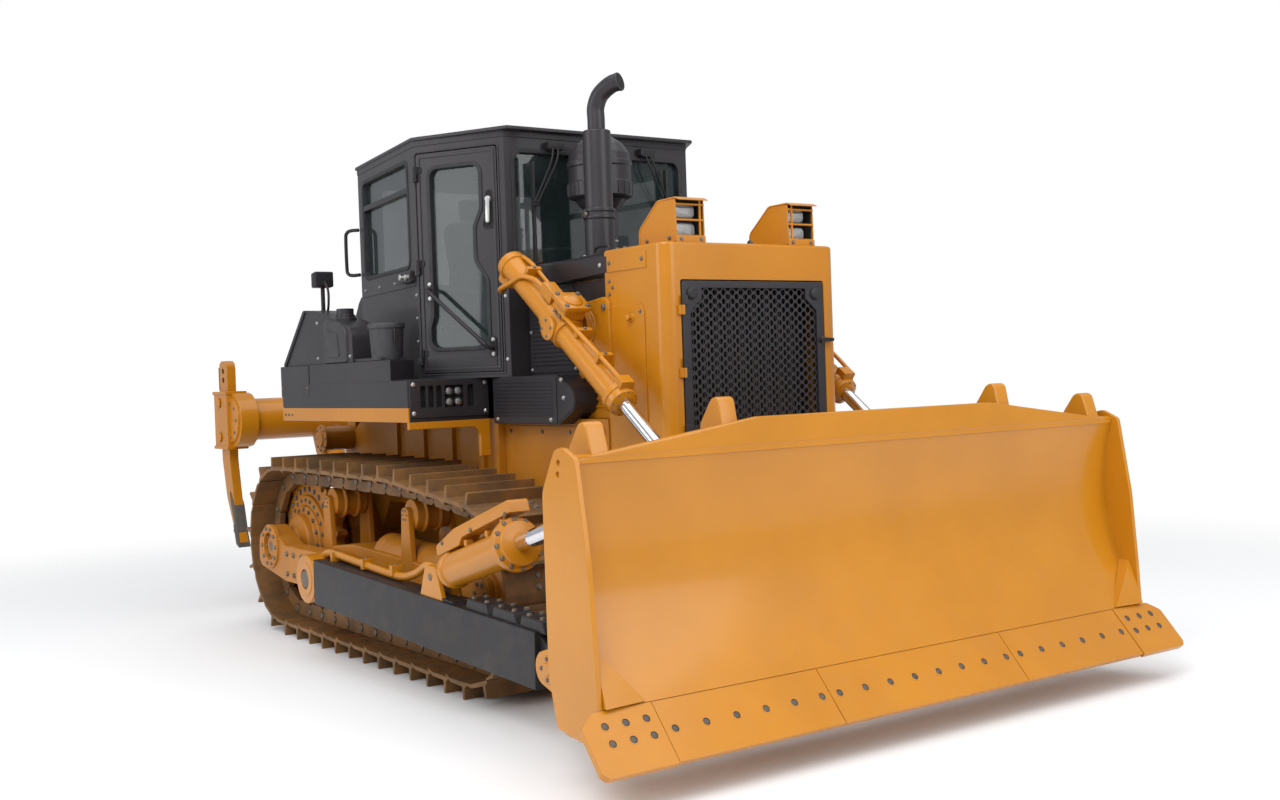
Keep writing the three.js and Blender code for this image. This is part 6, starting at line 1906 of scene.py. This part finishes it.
RIPPER_TOP, RIPPER_HEEL, RIPPER_HEEL_TOP, RIPPER_BEAM = (450, 1240), (1310, 1215), (1310, 1695), (1395, 1463)


def ripper_beam():
    """Cross tube with collars, shank pockets, pins and points."""
    made = Assembly()
    for side in (-1, 1):
        made.spun("yellow", (side * 1085, *RIPPER_BEAM), (side, 0, 0), [
            (-3, 0), (-3, 172, 4), (16, 170, 5), (18, 60, 4), (18, 0),
        ], 48)
        made.bolt_circle("bolt", side * 1101, RIPPER_BEAM, 130, 8, side, 10)
    for x in (-1050, 0, 1050):
        for z in (1330, 1600):
            pin(made, x - 82, x + 82, (1570, z), 24, 0)
        made.block("yellow", (x - 84, x + 84), (1386, 1702), (1236, 1262), 6)
        made.block("yellow", (x - 84, x + 84), (1386, 1702), (1664, 1690), 6)
        made.block("iron", (x - 37, x + 37), (1656, 1670), (1696, 1880), 4)
        made.prism("iron", [
            (1392, 505), (1322, 470, 8), (1418, 806, 140), (1478, 866), (1500, 900), (1486, 800),
            (1440, 690),
        ], x - 44, x + 44, 6)
        made.prism("iron", [(1320, 466, 6), (1388, 494, 6), (1440, 640), (1398, 660)], x - 48, x + 48, 5)
        made.bolts("bolt", [(x + s * 42, 1470, 790) for s in (-1, 1)], UP, 4)
        made.rod("bolt", (x - 52, 1412, 600), (x + 52, 1412, 600), 13, 20, 2)
        # near-black discs across each shank: painted shade of its pin holes
        for z in (1780, 1850):
            made.rod("dark", (x - 36.5, 1570, z), (x + 36.5, 1570, z), 22, 28, 1)
    for x in (-330, 330):
        pin(made, x - 64 * 1.05, x + 64 * 1.05, RIPPER_HEEL, 40)
    for x in (-110, 110):
        for s in (-1, 1):
            made.bolt_circle("bolt", x + s * 17, RIPPER_HEEL_TOP, 52, 4, x / abs(x), 6)
    return made


def ripper_lower():
    made = Assembly()
    for side in (-1, 1):
        x0, x1 = sorted((side * 284, side * 376))
        plate = [
            ahead(RIPPER_PIVOT, RIPPER_HEEL, d, s)
            for d, s in ((150, -52), (820, -46), (820, 46), (150, 52))
        ]
        made.prism("yellow", plate, x0, x1, 5)
        made.ring("yellow", (x0 - 2, *RIPPER_PIVOT), (x1 + 2, *RIPPER_PIVOT), 88, 44, 40, 6)
        made.pipe("rubber", [
            (side * 262, 520, 850), (side * 262, 700, 960), (side * 262, 900, 1060),
            (side * 262, 1040, 1120),
        ], 12)
    for x in (-252, 252):
        y, z = ahead(RIPPER_PIVOT, RIPPER_HEEL, 480, 0)
        made.spun("yellow", (x, y, z), (1, 0, 0), [(-20, 62), (-20, 76, 6), (20, 76, 6), (20, 62)], 40)
    return made


def ripper_upper():
    made = Assembly()
    plate = [
        ahead(RIPPER_TOP, RIPPER_HEEL_TOP, d, s)
        for d, s in ((140, -32), (840, -32), (840, 32), (140, 32))
    ]
    made.prism("yellow", plate, -92, 92, 5)
    for at in (RIPPER_TOP, RIPPER_HEEL_TOP):
        for x in (-86, 86):
            made.ring("yellow", (x - 4, *at), (x + 4, *at), 72, 44, 40, 3)
    return made


def ripper_barrel(x):
    made = Assembly()

    def line(distance, side=0):
        return ahead(RIPPER_TOP, RIPPER_HEEL, distance, side)

    start, end = (x, *line(0)), (x, *line(1))
    made.turned("yellow", start, end, [
        (92, 0), (92, 66, 6), (110, 76, 6), (150, 76, 4), (154, 73.5, 2), (590, 73.5, 2), (594, 84, 4),
        (640, 84, 6), (646, 50, 4), (646, 41),
    ], 48)
    for d in (170, 560):
        y, z = line(d, 86)
        made.block("yellow", (x - 26, x + 26), (y - 24, y + 24), (z - 20, z + 18), 5)
    a, b = line(170, 104), line(560, 104)
    made.pipe("yellow", [
        (x, *line(170, 96)), (x, *a), (x, *line(240, 106)), (x, *line(500, 106)), (x, *b),
        (x, *line(560, 92)),
    ], 9)
    made.pipe("rubber", [
        (x, *line(170, 110)), (x, *line(120, 170)), (x * 0.7, *line(20, 190)), (x * 0.6, 330, 1400),
    ], 12)
    return made


def hull():
    """Bolted side covers, hatch plates, tow pin and belly guards."""
    made = Assembly()
    for side in (-1, 1):
        for y0 in (-1880, -1480, -1080):
            made.prism("chassis", oblong((y0, y0 + 360), (1040, 1440), 16), *sorted((side * 632, side * 643)))
            made.bolts("bolt", [
                (side * 643, y0 + a, z) for a in (40, 320) for z in (1080, 1240, 1400)
            ], (side, 0, 0), 11)
        made.prism("chassis", oblong((-3140, -2100), (1040, 1440), 20), *sorted((side * 598, side * 608)), 4)
        made.bolts("bolt", [
            (side * 608, y, z) for y in (-3100, -2800, -2500, -2140) for z in (1075, 1405)
        ], (side, 0, 0), 11)
        made.spun("chassis", (side * 868, 120, 1330), (side, 0, 0), [
            (0, 0), (0, 100, 4), (14, 100, 4), (16, 60, 4), (26, 56, 4), (28, 0),
        ], 44)
        made.bolt_circle("bolt", side * 882, (120, 1330), 80, 8, side, 9)
        for x, ends in (
            (290, [(90, 44), (90, 60, 2), (94, 60), (94, 44)]),
            (400, [(15, 44), (15, 78, 4), (26, 76, 4), (28, 0)]),
        ):
            made.spun("chassis", (side * x, *RIPPER_PIVOT), (side, 0, 0), ends, 40)
        made.prism("chassis", oblong((-3560, -3000), (600, 900), 20), *sorted((side * 418, side * 428)), 4)
        made.bolts("bolt", [
            (side * 428, y, z) for y in (-3520, -3280, -3040) for z in (630, 870)
        ], (side, 0, 0), 11)
    made.prism("chassis", oblong((-360, 360), (620, 960), 30), -3654, -3640, 5, "xz")
    made.bolts("bolt", [(x, -3654, z) for x in (-330, -110, 110, 330) for z in (650, 930)], AHEAD, 13)
    for y in (-3200, -2500, -1800, -1100):
        made.prism("chassis", oblong((-360, 360), (y, y + 600), 30), 396, 404, 3, "xy")
        made.bolts("bolt", [(x, y + b, 396) for x in (-320, 320) for b in (50, 300, 550)], DOWN, 12)
    made.prism("chassis", oblong((-340, 340), (980, 1200), 30), 372, 382, 4, "xz")
    made.bolts("bolt", [(x, 382, z) for x in (-310, 0, 310) for z in (1010, 1170)], BEHIND, 13)
    made.spun("iron", (0, 378, 1090), BEHIND, [(0, 0), (0, 70, 5), (30, 66, 6), (34, 0)], 40)
    return made


EXTRA["ripper_beam"] = ripper_beam()
EXTRA["ripper_lower_link"] = ripper_lower()
EXTRA["ripper_upper_link"] = ripper_upper()
EXTRA["ripper_barrel_right"] = ripper_barrel(-200)
EXTRA["ripper_barrel_left"] = ripper_barrel(200)
EXTRA["hull"] = hull()


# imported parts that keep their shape, with rounded edges and their details
SOFTENED = [
    ("chassis_paint", "chassis", "hull engine_block"),
    ("yellow_paint", "yellow", "engine_panel_right engine_panel_left"),
    ("graphite_paint", "graphite", "hood cowl fender_right fender_left hydraulic_tank battery_box fuel_tank"),
    ("graphite_paint", "graphite", "cab_shell cab_roof"),
    ("seat_vinyl", "seat", "operator_seat"),
    ("black_trim", "plastic", "control_console"),
    ("chassis_paint", "chassis", "equalizer_bar"),
    ("yellow_paint", "yellow", "ripper_lower_link ripper_upper_link ripper_beam"),
    ("yellow_paint", "yellow", "ripper_barrel_right ripper_barrel_left"),
    ("chrome", "chrome", "ripper_rod_right ripper_rod_left"),
    ("graphite_paint", "graphite", "cab_door_right cab_door_left"),
]
BODY = {node: body for body, nodes in frame["record"]["behaviour"]["bodies"].items() for node in nodes}
for slot, finish, nodes in SOFTENED:
    for node in nodes.split():
        softened(node, BODY[node], slot, finish, extra=EXTRA.get(node))


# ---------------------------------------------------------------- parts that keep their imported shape
GLASS_NODES = [
    "windshield", "rear_glass", "side_glass_right", "side_glass_left", "door_glass_right",
    "door_glass_left",
]
for node in GLASS_NODES:
    pane = frame["nodes"][node]
    pane.data.materials.clear()
    pane.data.materials.append(FINISHES["glass"])


# ---------------------------------------------------------------- floor, light and camera
def sweep():
    """A pale floor; the camera sees a white backdrop behind it."""
    mesh = bpy.data.meshes.new("floor")
    mesh.from_pydata([(-40, -40, 0), (40, -40, 0), (40, 40, 0), (-40, 40, 0)], [], [(0, 1, 2, 3)])
    floor = bpy.data.objects.new("floor", mesh)
    scene.collection.objects.link(floor)
    shader = Shader("pale_floor")
    shader.set(base_color=(0.82, 0.82, 0.82), roughness=0.75 + shader.noise(3, 2) * 0.1)
    seen = shader.node("ShaderNodeLightPath", {}, {})["Is Camera Ray"]
    clear = shader.node("ShaderNodeBsdfTransparent", {}, {})["BSDF"]
    out = shader.tree.nodes["Material Output"]
    distance = shader.node("ShaderNodeVectorMath", {"operation": "LENGTH"}, {0: shader.coordinates})["Value"]
    fade = seen * distance.above(4.2, 9)
    mixed = shader.node("ShaderNodeMixShader", {}, {
        0: fade, 1: Value(shader, shader.surface.outputs[0]), 2: clear,
    })
    shader.feed(out.inputs["Surface"], mixed["Shader"])
    mesh.materials.append(shader.material)


def studio():
    world = bpy.data.worlds.new("studio")
    scene.world = world
    world.use_nodes = True
    tree = world.node_tree
    back = tree.nodes["Background"]
    back.inputs["Strength"].default_value = 1.0
    path = tree.nodes.new("ShaderNodeLightPath")
    seen = tree.nodes.new("ShaderNodeMath")
    seen.operation = "MAXIMUM"
    tree.links.new(path.outputs["Is Camera Ray"], seen.inputs[0])
    tree.links.new(path.outputs["Is Transmission Ray"], seen.inputs[1])
    mix = tree.nodes.new("ShaderNodeMix")
    mix.data_type = "RGBA"
    mix.inputs[6].default_value = (0.5, 0.515, 0.54, 1)
    mix.inputs[7].default_value = (1, 1, 1, 1)
    tree.links.new(seen.outputs[0], mix.inputs[0])
    tree.links.new(mix.outputs[2], back.inputs["Color"])
    lights = [
        ("key", (-9, -7, 10), (0, 0, 1.0), 7, 1000),
        ("front", (3, -12, 6), (0, -1, 1.0), 7, 430),
        ("side", (-12, 3, 5), (0, 0, 1.2), 6, 300),
        ("top", (0, -4, 12), (0, -3, 0), 15, 1050),
    ]
    for name, place, target, size, power in lights:
        light = bpy.data.lights.new(name, "AREA")
        light.shape = "SQUARE"
        light.size = size
        light.energy = power
        lamp = bpy.data.objects.new(name, light)
        lamp.location = place
        lamp.rotation_euler = (Vector(target) - Vector(place)).to_track_quat("-Z", "Y").to_euler()
        scene.collection.objects.link(lamp)


def camera(place, yaw, pitch, roll, lens):
    yaw, pitch, roll = (math.radians(v) for v in (yaw, pitch, roll))
    forward = Vector((math.sin(yaw) * math.cos(pitch), math.cos(yaw) * math.cos(pitch), math.sin(pitch)))
    right = Vector((math.cos(yaw), -math.sin(yaw), 0))
    up = right.cross(forward)
    x = right * math.cos(roll) + up * math.sin(roll)
    y = -right * math.sin(roll) + up * math.cos(roll)
    data = bpy.data.cameras.new("camera")
    data.lens = lens
    data.sensor_width = 36
    data.sensor_fit = "HORIZONTAL"
    made = bpy.data.objects.new("camera", data)
    made.matrix_world = Matrix.Translation(place) @ Matrix((x, y, -forward)).transposed().to_4x4()
    scene.collection.objects.link(made)
    scene.camera = made


sweep()
studio()
camera((-4.7631, -7.7814, 1.7215), 35.0, -1.1, -2.0, 39.47)
scene.view_settings.view_transform = "Standard"
